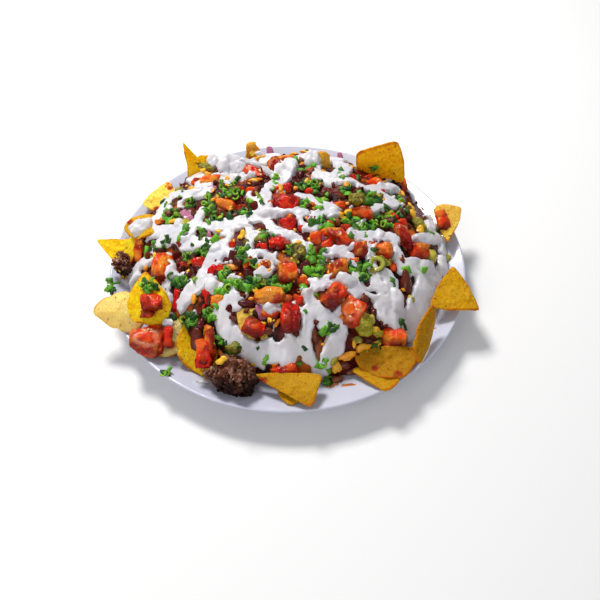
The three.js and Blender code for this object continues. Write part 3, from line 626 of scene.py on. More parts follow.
cube_points, cube_faces = cube_skin(DICE_STEPS)
slice_points, slice_faces = cube_skin(SLICE_STEPS)
dice_spots = []
seed_places = []
random = np.random.default_rng(4)
for number, (px, py, wide, high, deep, turn, orange, z, lift) in enumerate(TOMATOES, 1):
    centre = on_heap(px, py, lift) if z is None else at_height(px, py, z)
    half = np.array([wide * PIXEL_SIZE, high * PIXEL_SIZE, deep])
    bend = SLICE_ROUND if number in SLICES else DICE_ROUND
    start, faces = (slice_points, slice_faces) if number in SEEDED else (cube_points, cube_faces)
    points = keep_above_plate(dice(start, centre, half, (0.35, 0, turn), number, 0.15, bend))
    reach = np.hypot(start[:, 0], start[:, 1])
    ring = np.exp(-((reach - 0.68 + 0.1 * clouds(start, 0.5, number)) / 0.15) ** 2)
    pockets = (reach < 0.62) * np.clip(2.5 * clouds(start, 0.3, number), 0, 1)
    pulp = (number in SEEDED) * (start[:, 2] > 0.9) * np.clip(0.45 * ring + 0.6 * pockets, 0, 1)
    # Painted shade: each piece is darkened towards its lower side in the view, less on the seeded pieces.
    shade = 0.4 if number in SEEDED else 1.1
    under = np.clip(-shade * (start * half / half.max()) @ turned(0.35, 0, turn).T @ UPWARD, 0, 1)
    skin_side = start[:, number % 2] * (-1) ** (number // 2)
    tones = {"orange": np.full(len(points), orange), "cut": skin_side < 0.95, "pulp": pulp, "under": under}
    make_piece(f"diced_tomato_{number}", points, [faces], tomato.material, [f"tomato_{number}"],
               tones)
    dice_spots.append((centre, half))
    if number in SEEDED:
        reach = 0.3 + 0.3 * random.random(SEED_COUNT)
        angle = random.random(SEED_COUNT) * 2 * np.pi
        local = np.stack([reach * np.cos(angle), reach * np.sin(angle), np.full(SEED_COUNT, 1.0)], axis=1)
        seed_places.append((local * half * 0.98) @ turned(0.35, 0, turn).T + centre)


# The sour cream. It was drizzled from a spoon in thick bands that run together into pools, so its skin is
# smooth, its edges are round, and what lies under it shows only as soft swells.
CREAM_HEIGHT = 3.0
CREAM_EDGE = 2.0
CREAM_SINK = 2.4
CREAM_CELL = 0.75
CREAM_SPREAD = 0.80
CREAM_CLIMB = 2.4
MOUND_RISE = 0.75
CREAM_BLEND = 1.0
CREAM_MARGIN = 1.2
CREAM_REACH = 131.0
CREAM_WHITE = (0.63, 0.62, 0.67)
CREAM_LIGHT = (0.74, 0.72, 0.74)
DRIBBLE_COUNT = 70

# Each band's stops hold px, py and the half width there in pixels.
CREAM_BANDS = [
    [(211, 168, 7), (222, 165, 10), (238, 167, 10), (243, 176, 7)],
    [(238, 163, 5), (254, 166, 5), (268, 173, 5), (280, 182, 6)],
    [(280, 182, 7), (268, 190, 7), (267, 205, 7), (272, 214, 6), (290, 213, 5), (303, 215, 6)],
    [(211, 184, 5), (208, 194, 6), (190, 196, 7), (172, 198, 7), (164, 212, 8), (147, 230, 9)],
    [(147, 231, 8), (163, 232, 9), (183, 234, 9), (197, 224, 7), (203, 211, 5)],
    [(178, 236, 7), (190, 246, 8), (207, 243, 6), (221, 249, 7)],
    [(205, 228, 6), (229, 227, 8), (247, 222, 8), (262, 215, 8), (263, 206, 6), (250, 196, 5)],
    [(229, 226, 7), (226, 242, 7), (216, 258, 10), (203, 281, 10), (190, 293, 8), (182, 307, 5)],
    [(245, 221, 6), (250, 238, 6), (250, 254, 6), (266, 257, 6), (271, 267, 6), (258, 277, 6)],
    [(262, 218, 7), (275, 232, 7), (292, 238, 7), (304, 246, 6), (309, 259, 5)],
    [(298, 214, 6), (309, 229, 8), (322, 214, 8), (334, 212, 7), (316, 203, 7), (300, 197, 6)],
    [(283, 184, 6), (290, 174, 7), (293, 163, 7), (312, 158, 7), (318, 176, 7)],
    [(316, 177, 6), (340, 182, 6), (354, 184, 5), (368, 190, 5), (394, 189, 8)],
    [(368, 190, 5), (393, 205, 7), (373, 211, 5), (350, 236, 5), (369, 239, 7)],
    [(369, 240, 7), (370, 255, 7), (372, 275, 8), (378, 292, 11), (384, 312, 12)],
    [(372, 238, 7), (390, 240, 7), (397, 252, 7), (400, 266, 9), (418, 268, 9), (430, 282, 13)],
    [(430, 280, 13), (420, 300, 11), (408, 324, 12), (390, 314, 12), (392, 290, 12), (386, 276, 7)],
    [(418, 241, 7), (440, 243, 7), (441, 258, 5), (441, 274, 6), (433, 288, 7)],
    [(428, 238, 6), (431, 218, 6)],
    [(327, 254, 5), (344, 254, 7), (353, 266, 5), (357, 287, 9), (344, 303, 6), (338, 312, 5)],
    [(372, 290, 9), (357, 288, 8), (338, 280, 6), (312, 286, 7)],
    [(312, 284, 7), (307, 300, 9), (308, 318, 8), (306, 340, 7), (307, 358, 8), (313, 371, 7)],
    [(317, 310, 7), (326, 322, 7), (340, 326, 8), (338, 341, 9), (327, 354, 7), (322, 368, 6)],
    [(233, 298, 7), (223, 308, 9), (223, 322, 10), (234, 337, 9), (252, 351, 7), (262, 354, 7)],
    [(212, 282, 7), (222, 295, 7), (221, 308, 8)],
    [(250, 351, 7), (273, 353, 9), (290, 350, 9), (281, 338, 6)],
    [(267, 308, 5), (277, 314, 5), (277, 328, 5)],
    [(168, 256, 5), (173, 273, 5), (167, 290, 8), (170, 322, 5)],
    [(131, 282, 8), (140, 269, 8), (153, 256, 5), (158, 246, 6), (178, 238, 7)],
]

# Thicker mounds where the cream fell from the spoon: px, py, half width and half height in pixels, and
# turn.
CREAM_MOUNDS = [
    (291, 168, 8, 10, -15), (236, 180, 8, 4, 0), (270, 307, 7, 3, 20), (280, 318, 3, 7, 0),
    (200, 194, 8, 5, 20), (268, 214, 9, 4, 0), (330, 178, 8, 4, -5), (390, 190, 8, 5, 0),
    (344, 282, 8, 5, 0), (352, 250, 4, 5, 0), (247, 226, 7, 4, 10), (216, 250, 6, 4, 0),
    (213, 286, 8, 6, 30), (378, 236, 4, 6, 20), (180, 225, 6, 4, 0), (305, 250, 3, 7, 10),
    (171, 275, 3, 6, 0), (306, 292, 6, 6, 0), (334, 212, 6, 3, 0), (408, 196, 5, 4, 0), (186, 240, 6, 3, 0),
    (150, 276, 4, 3, 20), (138, 280, 6, 4, 30), (426, 268, 9, 5, 20), (396, 300, 7, 8, 0),
    (312, 160, 9, 8, 0),
]

# Bands on the slope behind: x, y and the half width in millimetres.
BACK_BANDS = [
    [(-66, 52, 6), (-76, 72, 7), (-78, 88, 7), (-64, 100, 6)],
    [(-6, 64, 6), (-18, 84, 7), (-12, 102, 6), (-16, 114, 5)],
    [(34, 50, 6), (46, 76, 7), (40, 94, 6), (48, 106, 5)],
]


def eased_route(stops, step=1.5):
    """Points along a curve through stops: between two stops, the cubic whose slopes come from their
    neighbours."""
    stops = np.array(stops, float)
    around = np.concatenate([[2 * stops[0] - stops[1]], stops, [2 * stops[-1] - stops[-2]]])
    path = []
    for before, start, end, after in zip(around[:-3], around[1:-2], around[2:-1], around[3:]):
        count = max(2, int(np.linalg.norm(end[:2] - start[:2]) / step))
        t = np.linspace(0, 1, count, endpoint=False)[:, None]
        cubic = 2 * start + (end - before) * t + (2 * before - 5 * start + 4 * end - after) * t ** 2
        path.append((cubic + (3 * start - before - 3 * end + after) * t ** 3) / 2)
    path.append(stops[-1:])
    return np.concatenate(path)


cream_routes = [eased_route(band) for band in BACK_BANDS]
for band in CREAM_BANDS:
    px, py, wide = np.array(band, float).T
    stops = on_heap(px, py)
    stops[:, 2] = wide * PIXEL_SIZE * CREAM_SPREAD
    route = eased_route(stops)
    heading = np.gradient(route[:, :2], axis=0)
    heading /= np.linalg.norm(heading, axis=1, keepdims=True) + 1e-9
    route[:, 2] /= np.hypot(heading[:, 1], FORESHORTENING * heading[:, 0])
    cream_routes.append(route)


random = np.random.default_rng(3)
for number in range(DRIBBLE_COUNT):
    share = 0.93 * math.sqrt(random.random())
    turn = random.random() * 2 * math.pi
    start = np.array([HEAP_RADIUS_X * math.cos(turn), HEAP_RADIUS_Y * math.sin(turn)])
    start = start * share + [0, HEAP_BACK]
    heading = random.normal(0, 0.7) + math.pi * random.integers(2)
    bend = random.normal(0, 0.6)
    headings = [heading + k * bend for k in range(4)]
    steps = np.cumsum([[math.cos(way), math.sin(way)] for way in headings], axis=0)
    half = (0.9 + 1.2 * random.random()) * np.array([0.9, 1.2, 1.0, 0.5])
    cream_routes.append(eased_route(np.column_stack([start + steps * (2.5 + 4 * random.random()), half])))


def mound_shares(x, y):
    """For each mound, the share of the way from its middle to its oval edge, and its shorter half."""
    for px, py, wide, high, turn in CREAM_MOUNDS:
        centre = on_heap(px, py)
        right = x - centre[0]
        up = (y - centre[1]) * FORESHORTENING
        angle = math.radians(turn)
        first = (right * math.cos(angle) + up * math.sin(angle)) / wide
        second = (up * math.cos(angle) - right * math.sin(angle)) / high
        yield np.hypot(first, second) / PIXEL_SIZE, min(wide, high) * PIXEL_SIZE


def cream_margin(x, y):
    """How far inside the cream each place is, in millimetres, below 0 outside it: the distance to each
    band's route less its half width, joined by a soft minimum that fills the corners between bands, plus
    waves, less small holes where the cream has broken over a crumb. It stops short of the plate's lip."""
    total = np.zeros_like(x)
    for route in cream_routes:
        nearest = np.full_like(x, 99.0)
        for stop_x, stop_y, half in route:
            np.minimum(nearest, np.hypot(x - stop_x, y - stop_y) - half, out=nearest)
        total += np.exp(-np.minimum(nearest, 40) / CREAM_BLEND)
    for share, half in mound_shares(x, y):
        total += np.exp(np.maximum(1 - share, -20) * half / CREAM_BLEND)
    flat = np.stack([x, y, np.zeros_like(x)], axis=-1)
    wobble = 1.1 * clouds(flat, 8, 21) + 1.0 * clouds(flat, 4, 22) + 0.7 * clouds(flat, 2.2, 23)
    holes = 14 * np.clip(clouds(flat, 7, 24) - 0.42, 0, 1)
    inside = CREAM_BLEND * np.log(total + 1e-30) + wobble - holes
    return np.minimum(inside, CREAM_REACH - np.hypot(x, y))


grid_x = np.arange(-PLATE_RADIUS, PLATE_RADIUS, CREAM_CELL)
grid_y = np.arange(-PLATE_RADIUS, PLATE_RADIUS, CREAM_CELL)
cream_x, cream_y = np.meshgrid(grid_x, grid_y, indexing="ij")
cream_inside = cream_margin(cream_x, cream_y)


def inside_cream(x, y):
    """The margin worked out on the grid, read at the nearest grid point."""
    column = np.clip(((x + PLATE_RADIUS) / CREAM_CELL + 0.5).astype(int), 0, len(grid_x) - 1)
    row = np.clip(((y + PLATE_RADIUS) / CREAM_CELL + 0.5).astype(int), 0, len(grid_y) - 1)
    return cream_inside[column, row]


cream = Finish("sour_cream", 0.3, Specular_IOR_Level=0.4, Subsurface_Weight=0.15, Subsurface_Scale=0.003)
cream.colour(cream.mix(cream.noise(20), CREAM_WHITE, CREAM_LIGHT))
cream.roughness(cream.noise(8), 0.2, 0.4)

kept = np.minimum(
    np.minimum(cream_inside[:-1, :-1], cream_inside[1:, :-1]),
    np.minimum(cream_inside[:-1, 1:], cream_inside[1:, 1:]),
) > -CREAM_MARGIN
index = np.arange(cream_x.size).reshape(cream_x.shape)
quads = np.stack([index[:-1, :-1], index[1:, :-1], index[1:, 1:], index[:-1, 1:]], axis=-1)[kept]
used, quads = np.unique(quads, return_inverse=True)
quads = quads.reshape(-1, 4)
x = cream_x.ravel()[used]
y = cream_y.ravel()[used]
inside = cream_inside.ravel()[used]
flat = np.stack([x, y, np.zeros_like(x)], axis=-1)
thickness = 1.0 + 0.35 * clouds(flat, 11, 31) + 0.2 * clouds(flat, 5, 32) + 0.05 * clouds(flat, 2.5, 33)
fullness = CREAM_HEIGHT * thickness
depth = np.clip(inside / CREAM_EDGE, 0, 1)
rounded = fullness * np.sqrt(np.clip(1 - (1 - depth) ** 2, 0, 1)) + np.minimum(inside, 0) * 1.4
climb = np.zeros_like(x)
for centre, half in dice_spots:
    away = np.hypot(x - centre[0], y - centre[1]) / (half[:2].max() + 1.5)
    climb = np.maximum(climb, np.exp(-away ** 4))
mound = np.zeros_like(x)
for share, half in mound_shares(x, y):
    share = share * (1 + 0.35 * clouds(flat, 4, 34))
    mound = np.maximum(mound, half * MOUND_RISE * np.clip(1 - share ** 2, 0, 1) ** 0.7)
rounded += (CREAM_CLIMB * climb + mound) * depth
base = np.stack([x, y, ground_top(x, y) + 0.45 * heap_lumps(x, y) * (heap_share(x, y) < 0.96)], axis=-1)
normal = ground_normal(x, y)
top = base + normal * rounded[:, None]
under = base - normal * CREAM_SINK
edges = np.concatenate([quads[:, [k, (k + 1) % 4]] for k in range(4)])
keys = edges[:, 0] * len(x) + edges[:, 1]
backward = edges[:, 1] * len(x) + edges[:, 0]
rim = edges[~np.isin(keys, backward)]
walls = np.stack([rim[:, 1], rim[:, 0], rim[:, 0] + len(x), rim[:, 1] + len(x)], axis=-1)
cream_faces = np.concatenate([quads, quads[:, ::-1] + len(x), walls])
make_piece("drizzled_cream", np.concatenate([top, under]), [cream_faces], cream.material,
           [f"sour_cream_{k}" for k in range(1, 6)])


# The ground beef. Browned mince breaks into soft crumbs of two to nine millimetres. Two lumps of it lie
# out on the rim, one by the front chip and one on a chip at the left, and loose crumbs lie over the heap.
# On the lumps of mince the dark colour is also painted shade, and the pink one is a painted highlight.
BEEF_DARK = (0.018, 0.005, 0.003)
BEEF_BROWN = (0.12, 0.030, 0.012)
BEEF_PINK = (0.52, 0.27, 0.19)
CRUMB_COUNT = 850

# Each lump holds px, py, height, half width and half height on the picture, half depth in millimetres,
# its turn, how many crumbs make it and how light they are, which also lifts their painted highlights.
BEEF_LUMPS = [
    (235, 377, 26, 20, 17, 13, 0.0, 300, 0.1), (123, 264, 31, 9, 12, 5, 0.2, 90, 0.45),
]


def ball(level):
    """Points and triangles of a ball of radius 1 made from an icosahedron."""
    ball_mesh = bmesh.new()
    bmesh.ops.create_icosphere(ball_mesh, subdivisions=level, radius=1)
    points = np.array([vertex.co for vertex in ball_mesh.verts])
    faces = np.array([[vertex.index for vertex in face.verts] for face in ball_mesh.faces])
    ball_mesh.free()
    return points, faces


def frames_on(normals, spins):
    """For each normal a matrix whose third axis is the normal and whose first is spun about it."""
    normals = normals / np.linalg.norm(normals, axis=1, keepdims=True)
    helper = np.where(np.abs(normals[:, :1]) < 0.8, [[1.0, 0, 0]], [[0, 1.0, 0]])
    side = np.cross(helper, normals)
    side /= np.linalg.norm(side, axis=1, keepdims=True)
    other = np.cross(normals, side)
    cosine = np.cos(spins)[:, None]
    sine = np.sin(spins)[:, None]
    return np.stack([side * cosine + other * sine, other * cosine - side * sine, normals], axis=2)


def scattered(shape, places, sizes, frames, rough=0.0, seed=0):
    """Copies of a shape, each scaled, made uneven by noise of its own, turned by its frame and put in its
    place."""
    points, faces = shape
    count = len(places)
    copies = np.repeat(points[None], count, axis=0)
    if rough:
        own = copies + 7.3 * np.arange(count)[:, None, None]
        uneven = clouds(own, 0.9, seed) + 0.5 * clouds(own, 0.4, seed + 1)
        copies = copies * (1 + rough * uneven)[..., None]
    copies = np.einsum("nij,nkj->nki", frames, copies * sizes[:, None, :]) + places[:, None, :]
    every = faces[None] + len(points) * np.arange(count)[:, None, None]
    return copies.reshape(-1, 3), every.reshape(-1, faces.shape[1])


def facing_view(turns):
    """For each turn in degrees a matrix whose first two axes lie across the picture, turned that far, and
    whose third faces the eye."""
    angle = np.radians(turns)[:, None]
    across = np.array([[1.0, 0, 0]])
    first = across * np.cos(angle) + UPWARD * np.sin(angle)
    second = UPWARD * np.cos(angle) - across * np.sin(angle)
    return np.stack([first, second, np.broadcast_to(-AHEAD, first.shape)], axis=2)


def seen_pieces(shape, rows, depth, lift, rough, seed):
    """Copies of a shape for rows of px, py, half width and half height in pixels, turn in degrees, tone
    and, where the piece doesn't lie on the heap, its height. Gives points, faces and each point's tone."""
    px, py, wide, high, turn, tone = np.array([row[:6] for row in rows], float).T
    places = on_heap(px, py, lift)
    for number, row in enumerate(rows):
        if len(row) > 6:
            places[number] = at_height(row[0], row[1], row[6])
    sizes = np.stack([wide, high, depth * np.minimum(wide, high)], axis=1) * PIXEL_SIZE
    points, faces = scattered(shape, places, sizes, facing_view(turn), rough, seed)
    return points, faces, np.repeat(tone, len(shape[0]))


def spread_over_heap(count, random, widest=0.97):
    """Random places over the heap's plan, as x and y, evenly thick from its middle to its edge."""
    share = np.sqrt(random.random(count)) * widest
    turn = random.random(count) * 2 * np.pi
    return share * HEAP_RADIUS_X * np.cos(turn), share * HEAP_RADIUS_Y * np.sin(turn) + HEAP_BACK


beef = Finish("browned_mince", 0.5, Specular_IOR_Level=0.12)
# The tone runs from dark, which is also painted shade, to brown. Pink is mixed in where the tone is high, as
# a painted highlight.
meat = beef.mix(beef.attribute("tone"), BEEF_DARK, BEEF_BROWN)
meat = beef.mix(beef.times(beef.noise(2.2, 0.47, 0.66, 3), beef.attribute("tone")), meat, BEEF_PINK)
beef.colour(beef.mix(beef.times(beef.attribute("sauce"), beef.noise(6, 0.42, 0.6)), meat, SAUCE_RED))
beef.roughness(beef.noise(3), 0.3, 0.65)
beef.relief(beef.noise(1.1, 0.3, 0.7, 4), 0.5)

fine_ball = ball(3)
random = np.random.default_rng(5)
for number, (px, py, z, wide, high, deep, turn, count, light) in enumerate(BEEF_LUMPS, 1):
    half = np.array([wide * PIXEL_SIZE, high * PIXEL_SIZE, deep])
    order = np.arange(count) + 0.5
    tilt = np.arccos(1 - 2 * order / count)
    round_turn = np.pi * (1 + 5 ** 0.5) * order
    level = np.sin(tilt)
    way = np.stack([np.cos(round_turn) * level, np.sin(round_turn) * level, np.cos(tilt)], axis=-1)
    size = np.minimum(half.min(), 9) * (0.11 + 0.30 * random.random(count) ** 2)
    spots = way * (half * (0.88 + 0.34 * clouds(way, 0.5, 41))[:, None] - size[:, None] * 0.6)
    sizes = size[:, None] * (0.7 + 0.7 * random.random((count, 3)))
    frames = frames_on(way, random.random(count) * 6.28)
    crumbs, faces = scattered(ball(2), spots, sizes, frames, 0.5, 11)
    core = fine_ball[0] * half * 0.7
    lump = np.concatenate([crumbs, core]) @ turned(0.35, 0, turn).T + at_height(px, py, z)
    # Painted light: crumbs facing up in the view get a higher tone, lighter and pinker, and those facing down
    # stay dark. The core showing between the crumbs is left darkest, as painted shade.
    lit = np.clip(0.6 * random.random(count) + 0.9 * way @ UPWARD - 0.2 + light, 0, 1)
    tone = np.concatenate([np.repeat(lit, len(ball(2)[0])), np.zeros(len(core))])
    faces = [faces, fine_ball[1] + len(crumbs)]
    make_piece(f"mince_lump_{number}", keep_above_plate(lump), faces, beef.material,
               [f"ground_beef_{number}"], {"tone": tone})

x, y = spread_over_heap(CRUMB_COUNT, random)
open_ground = inside_cream(x, y) < 0.5
x = x[open_ground]
y = y[open_ground]
size = 1.0 + 2.6 * random.random(len(x)) ** 2
sizes = size[:, None] * (0.6 + 0.7 * random.random((len(x), 3)))
places = np.stack([x, y, ground_top(x, y)], axis=-1) + ground_normal(x, y) * size[:, None] * 0.2
frames = frames_on(random.normal(size=(len(x), 3)), random.random(len(x)) * 6.28)
crumbs, faces = scattered(ball(2), places, sizes, frames, 0.75, 15)
make_piece("loose_mince", keep_above_plate(crumbs), [faces], beef.material, (),
           {"tone": np.repeat(0.7 * random.random(len(x)), len(ball(2)[0])), "sauce": np.ones(len(crumbs))})


# The melted cheese and the sweetcorn. Grated cheese melted into soft orange-yellow threads and blobs, and a
# few kernels and flecks of fried corn lie among them.
CHEESE_ORANGE = (0.78, 0.22, 0.006)
CHEESE_YELLOW = (0.88, 0.52, 0.02)
CHEESE_COUNT = 230

# Lumps that stand out: px, py, half width, half height, turn, how yellow and a height off the heap.
CHEESE_LUMPS = [
    (252, 145, 4.5, 3.5, 0, 0.5, 54), (253, 153, 3.5, 3, 0, 0.8, 49), (257, 158, 4.5, 3.5, 20, 0.6, 46),
    (290, 160, 8, 3, -10, 0.3), (203, 171, 3, 2.5, 0, 0.9, 56), (208, 174, 3, 2.5, 0, 0.7, 55),
    (228, 180, 3, 3, 0, 0.6, 58), (158, 257, 7, 5, 0, 0.9), (196, 189, 8, 3, 0, 0.7),
    (228, 178, 3, 3.5, 0, 0.9), (242, 238, 3, 6, 0, 1.0), (229, 361, 4, 3, 0, 0.9),
    (222, 360, 5, 3.5, 20, 0.85, 41), (254, 363, 3, 3, 0, 0.9), (374, 330, 6, 4, 0, 0.9),
    (346, 305, 3, 3, 0, 0.6), (275, 362, 5, 4, 10, 0.4), (262, 231, 5, 3, 0, 0.7), (298, 244, 5, 3, 0, 0.8),
    (341, 216, 5, 3, -20, 0.6), (188, 262, 4, 3, 30, 0.4), (260, 266, 5, 2.5, 10, 0.2),
    (268, 271, 3, 2.5, 0, 0.5), (352, 258, 4, 3, -20, 0.7), (386, 260, 4, 3, 0, 0.6),
    (272, 321, 4, 3.5, 0, 0.8), (262, 324, 3, 3, 0, 0.6), (356, 247, 5, 2.5, -30, 0.5),
    (420, 232, 4, 5, 0, 0.7), (413, 216, 3, 5, 10, 0.8), (398, 258, 4, 3, 0, 0.4), (158, 262, 4, 3, 0, 0.7),
    (150, 298, 3, 2.5, 0, 0.9), (348, 356, 8, 4, 20, 0.3), (362, 348, 7, 4, 10, 0.5),
    (377, 344, 5, 3, 0, 0.6), (337, 368, 4, 5, 0, 0.7),
]

cheese = Finish("melted_cheese", 0.3, Specular_IOR_Level=0.5)
cheese.colour(cheese.mix(cheese.attribute("tone"), CHEESE_ORANGE, CHEESE_YELLOW))
cheese.relief(cheese.noise(2), 0.2)

random = np.random.default_rng(8)
x, y = spread_over_heap(CHEESE_COUNT, random)
open_ground = inside_cream(x, y) < 1.0
x = x[open_ground]
y = y[open_ground]
size = 1.0 + 1.6 * random.random(len(x)) ** 2
drawn_out = 1 + 1.6 * random.random(len(x))
sizes = size[:, None] * np.stack([drawn_out, np.ones(len(x)), np.full(len(x), 0.7)], axis=1)
places = np.stack([x, y, ground_top(x, y)], axis=-1) + ground_normal(x, y) * (0.8 + size[:, None] * 0.5)
frames = frames_on(ground_normal(x, y), random.random(len(x)) * 6.28)
threads, faces = scattered(ball(2), places, sizes, frames, 0.2, 19)
lumps, lump_faces, lump_tones = seen_pieces(ball(3), CHEESE_LUMPS, 0.55, 2.0, 0.55, 20)
tones = np.concatenate([np.repeat(random.random(len(x)), len(ball(2)[0])), lump_tones])
points = keep_above_plate(np.concatenate([threads, lumps]))
make_piece("melted_cheese", points, [faces, lump_faces + len(threads)], cheese.material, (),
           {"tone": tones})


# Small bits of tomato, cut from the same fruit as the dice, too small to count one by one.
SMALL_TOMATO_COUNT = 20

# The ones that stand out: px, py, half width, half height, turn, how orange and a height off the heap.
SMALL_TOMATOES = [
    (239, 189, 5, 3, 0, 0.2), (288, 189, 3.5, 5, 0, 0.05), (276, 190, 3, 3, 0, 0.05),
    (309, 192, 3.5, 3, 0, 0.15), (278, 197, 6, 3.5, 20, 0.85), (299, 213, 4, 3, -30, 0.2),
    (287, 225, 7, 6, 0, 0.05), (327, 246, 5, 5, 20, 0.2), (181, 243, 4, 4, 30, 0.3),
    (253, 190, 6, 3, 0, 0.7), (205, 182, 11, 4, -3, 0.9), (226, 205, 9, 5, -10, 0.75),
    (265, 265, 4, 4, 0, 0.8), (303, 282, 4, 4, 10, 0.9), (232, 249, 3, 6, 0, 0.1),
    (207, 297, 3, 6, 15, 0.05), (217, 301, 6, 5, 0, 0.9), (200, 263, 6, 5, 20, 0.1),
    (404, 186, 3, 7, 10, 0.8), (169, 189, 3.5, 6, 20, 0.85, 36), (138.5, 251, 4, 11, -5, 0.75, 36),
    (209, 340, 4, 11, 0, 0.7, 40), (204, 360, 6, 6, 0, 0.1, 33), (165, 280, 8, 4, 0, 0.4),
    (340, 205, 5, 3, 10, 0.7), (316, 239, 5, 6, 0, 0.5), (185, 265, 4, 3, 0, 0.2), (272, 205, 4, 4, 0, 0.2),
    (250, 262, 3, 4, 0, 0.1), (298, 300, 4, 5, 0, 0.3), (393, 268, 3, 4, 0, 0.3), (345, 228, 4, 3, 0, 0.5),
    (330, 225, 4, 3, -30, 0.4), (354, 262, 4, 4, 0, 0.6), (211, 180, 10, 4.5, 3, 0.95, 54),
    (286, 160, 8, 4.5, 10, 0.8, 55), (302, 228, 3, 3, 0, 0.2), (222, 268, 4, 3, 0, 0.1),
    (368, 178, 4, 3, 20, 0.3), (380, 192, 4, 3, 0, 0.1), (147, 314, 5, 3, 0, 0.2, 40),
    (168, 336, 4, 7, 0, 0.1, 34), (324, 232, 6, 3, 25, 0.6), (352, 236, 6, 4, -10, 0.55),
    (371, 246, 4, 4, 0, 0.3), (403, 224, 4, 5, 20, 0.1), (440, 215, 4, 5, 0, 0.4, 38),
    (270, 312, 7, 4, 0, 0.8), (286, 301, 6, 5, 0, 0.2), (280, 366, 8, 4, 0, 0.6),
    (338, 292, 5, 7, -35, 0.75), (345, 318, 5, 7, -30, 0.9), (399, 345, 5, 5, 0, 0.9),
    (242, 208, 5, 3, 0, 0.4), (193, 180, 5, 3, 0, 0.6), (160, 222, 4, 2.5, 10, 0.7),
    (160, 267, 7, 6, 0, 0.7), (168, 275, 6, 7, 0, 0.0), (177, 301, 3.5, 9, -10, 0.0),
    (213, 271, 4, 5, -30, 0.0), (262, 247, 4, 3, 0, 0.2), (311, 205, 4, 2.5, 0, 0.3),
]

random = np.random.default_rng(12)
small_cube = cube_skin(4)
swell = 1.08 / np.linalg.norm(small_cube[0], axis=1, keepdims=True) ** DICE_ROUND
small_dice = (small_cube[0] * swell, small_cube[1])
named, named_faces, named_orange = seen_pieces(small_dice, SMALL_TOMATOES, 0.6, 1.8, 0.35, 25)
x, y = spread_over_heap(SMALL_TOMATO_COUNT, random)
open_ground = inside_cream(x, y) < 0.0
x = x[open_ground]
y = y[open_ground]
places = np.stack([x, y, ground_top(x, y) + 1.2], axis=-1)
size = 1.5 + 2.0 * random.random(len(x))
sizes = size[:, None] * (0.5 + 0.6 * random.random((len(x), 3)))
frames = frames_on(random.normal(size=(len(x), 3)), random.random(len(x)) * 6.28)
bits, faces = scattered(small_dice, places, sizes, frames, 0.2, 23)
orange = np.concatenate([np.repeat(random.random(len(x)) ** 2, len(small_cube[0])), named_orange])
# Painted shade: the small bits are darkened towards their lower side in the view.
under = np.clip(-np.tile(small_cube[0] @ UPWARD, len(orange) // len(small_cube[0])), 0, 1)
points = keep_above_plate(np.concatenate([bits, named]))
make_piece("small_tomato_bits", points, [faces, named_faces + len(bits)], tomato.material, (),
           {"orange": orange, "cut": np.ones(len(orange)), "under": under})

tomato_seed = Finish("tomato_seed", 0.2, Specular_IOR_Level=0.4)
tomato_seed.colour(tomato_seed.mix(tomato_seed.noise(2), SEED_COLOUR, (0.92, 0.68, 0.35)))
places = np.concatenate(seed_places)
sizes = np.array([[1.1, 0.75, 0.35]]) * (0.8 + 0.4 * random.random((len(places), 1)))
frames = frames_on(np.tile([[0.0, -0.34, 0.94]], (len(places), 1)), random.random(len(places)) * 6.28)
seeds, faces = scattered(ball(2), places, sizes, frames, 0.1, 26)
make_piece("tomato_seeds", seeds, [faces], tomato_seed.material)


# The kidney beans and the dark bits: cooked beans, their split skins, and browned onion, wet with sauce.
BEAN_MAROON = (0.085, 0.006, 0.006)
BEAN_BROWN = (0.30, 0.09, 0.02)

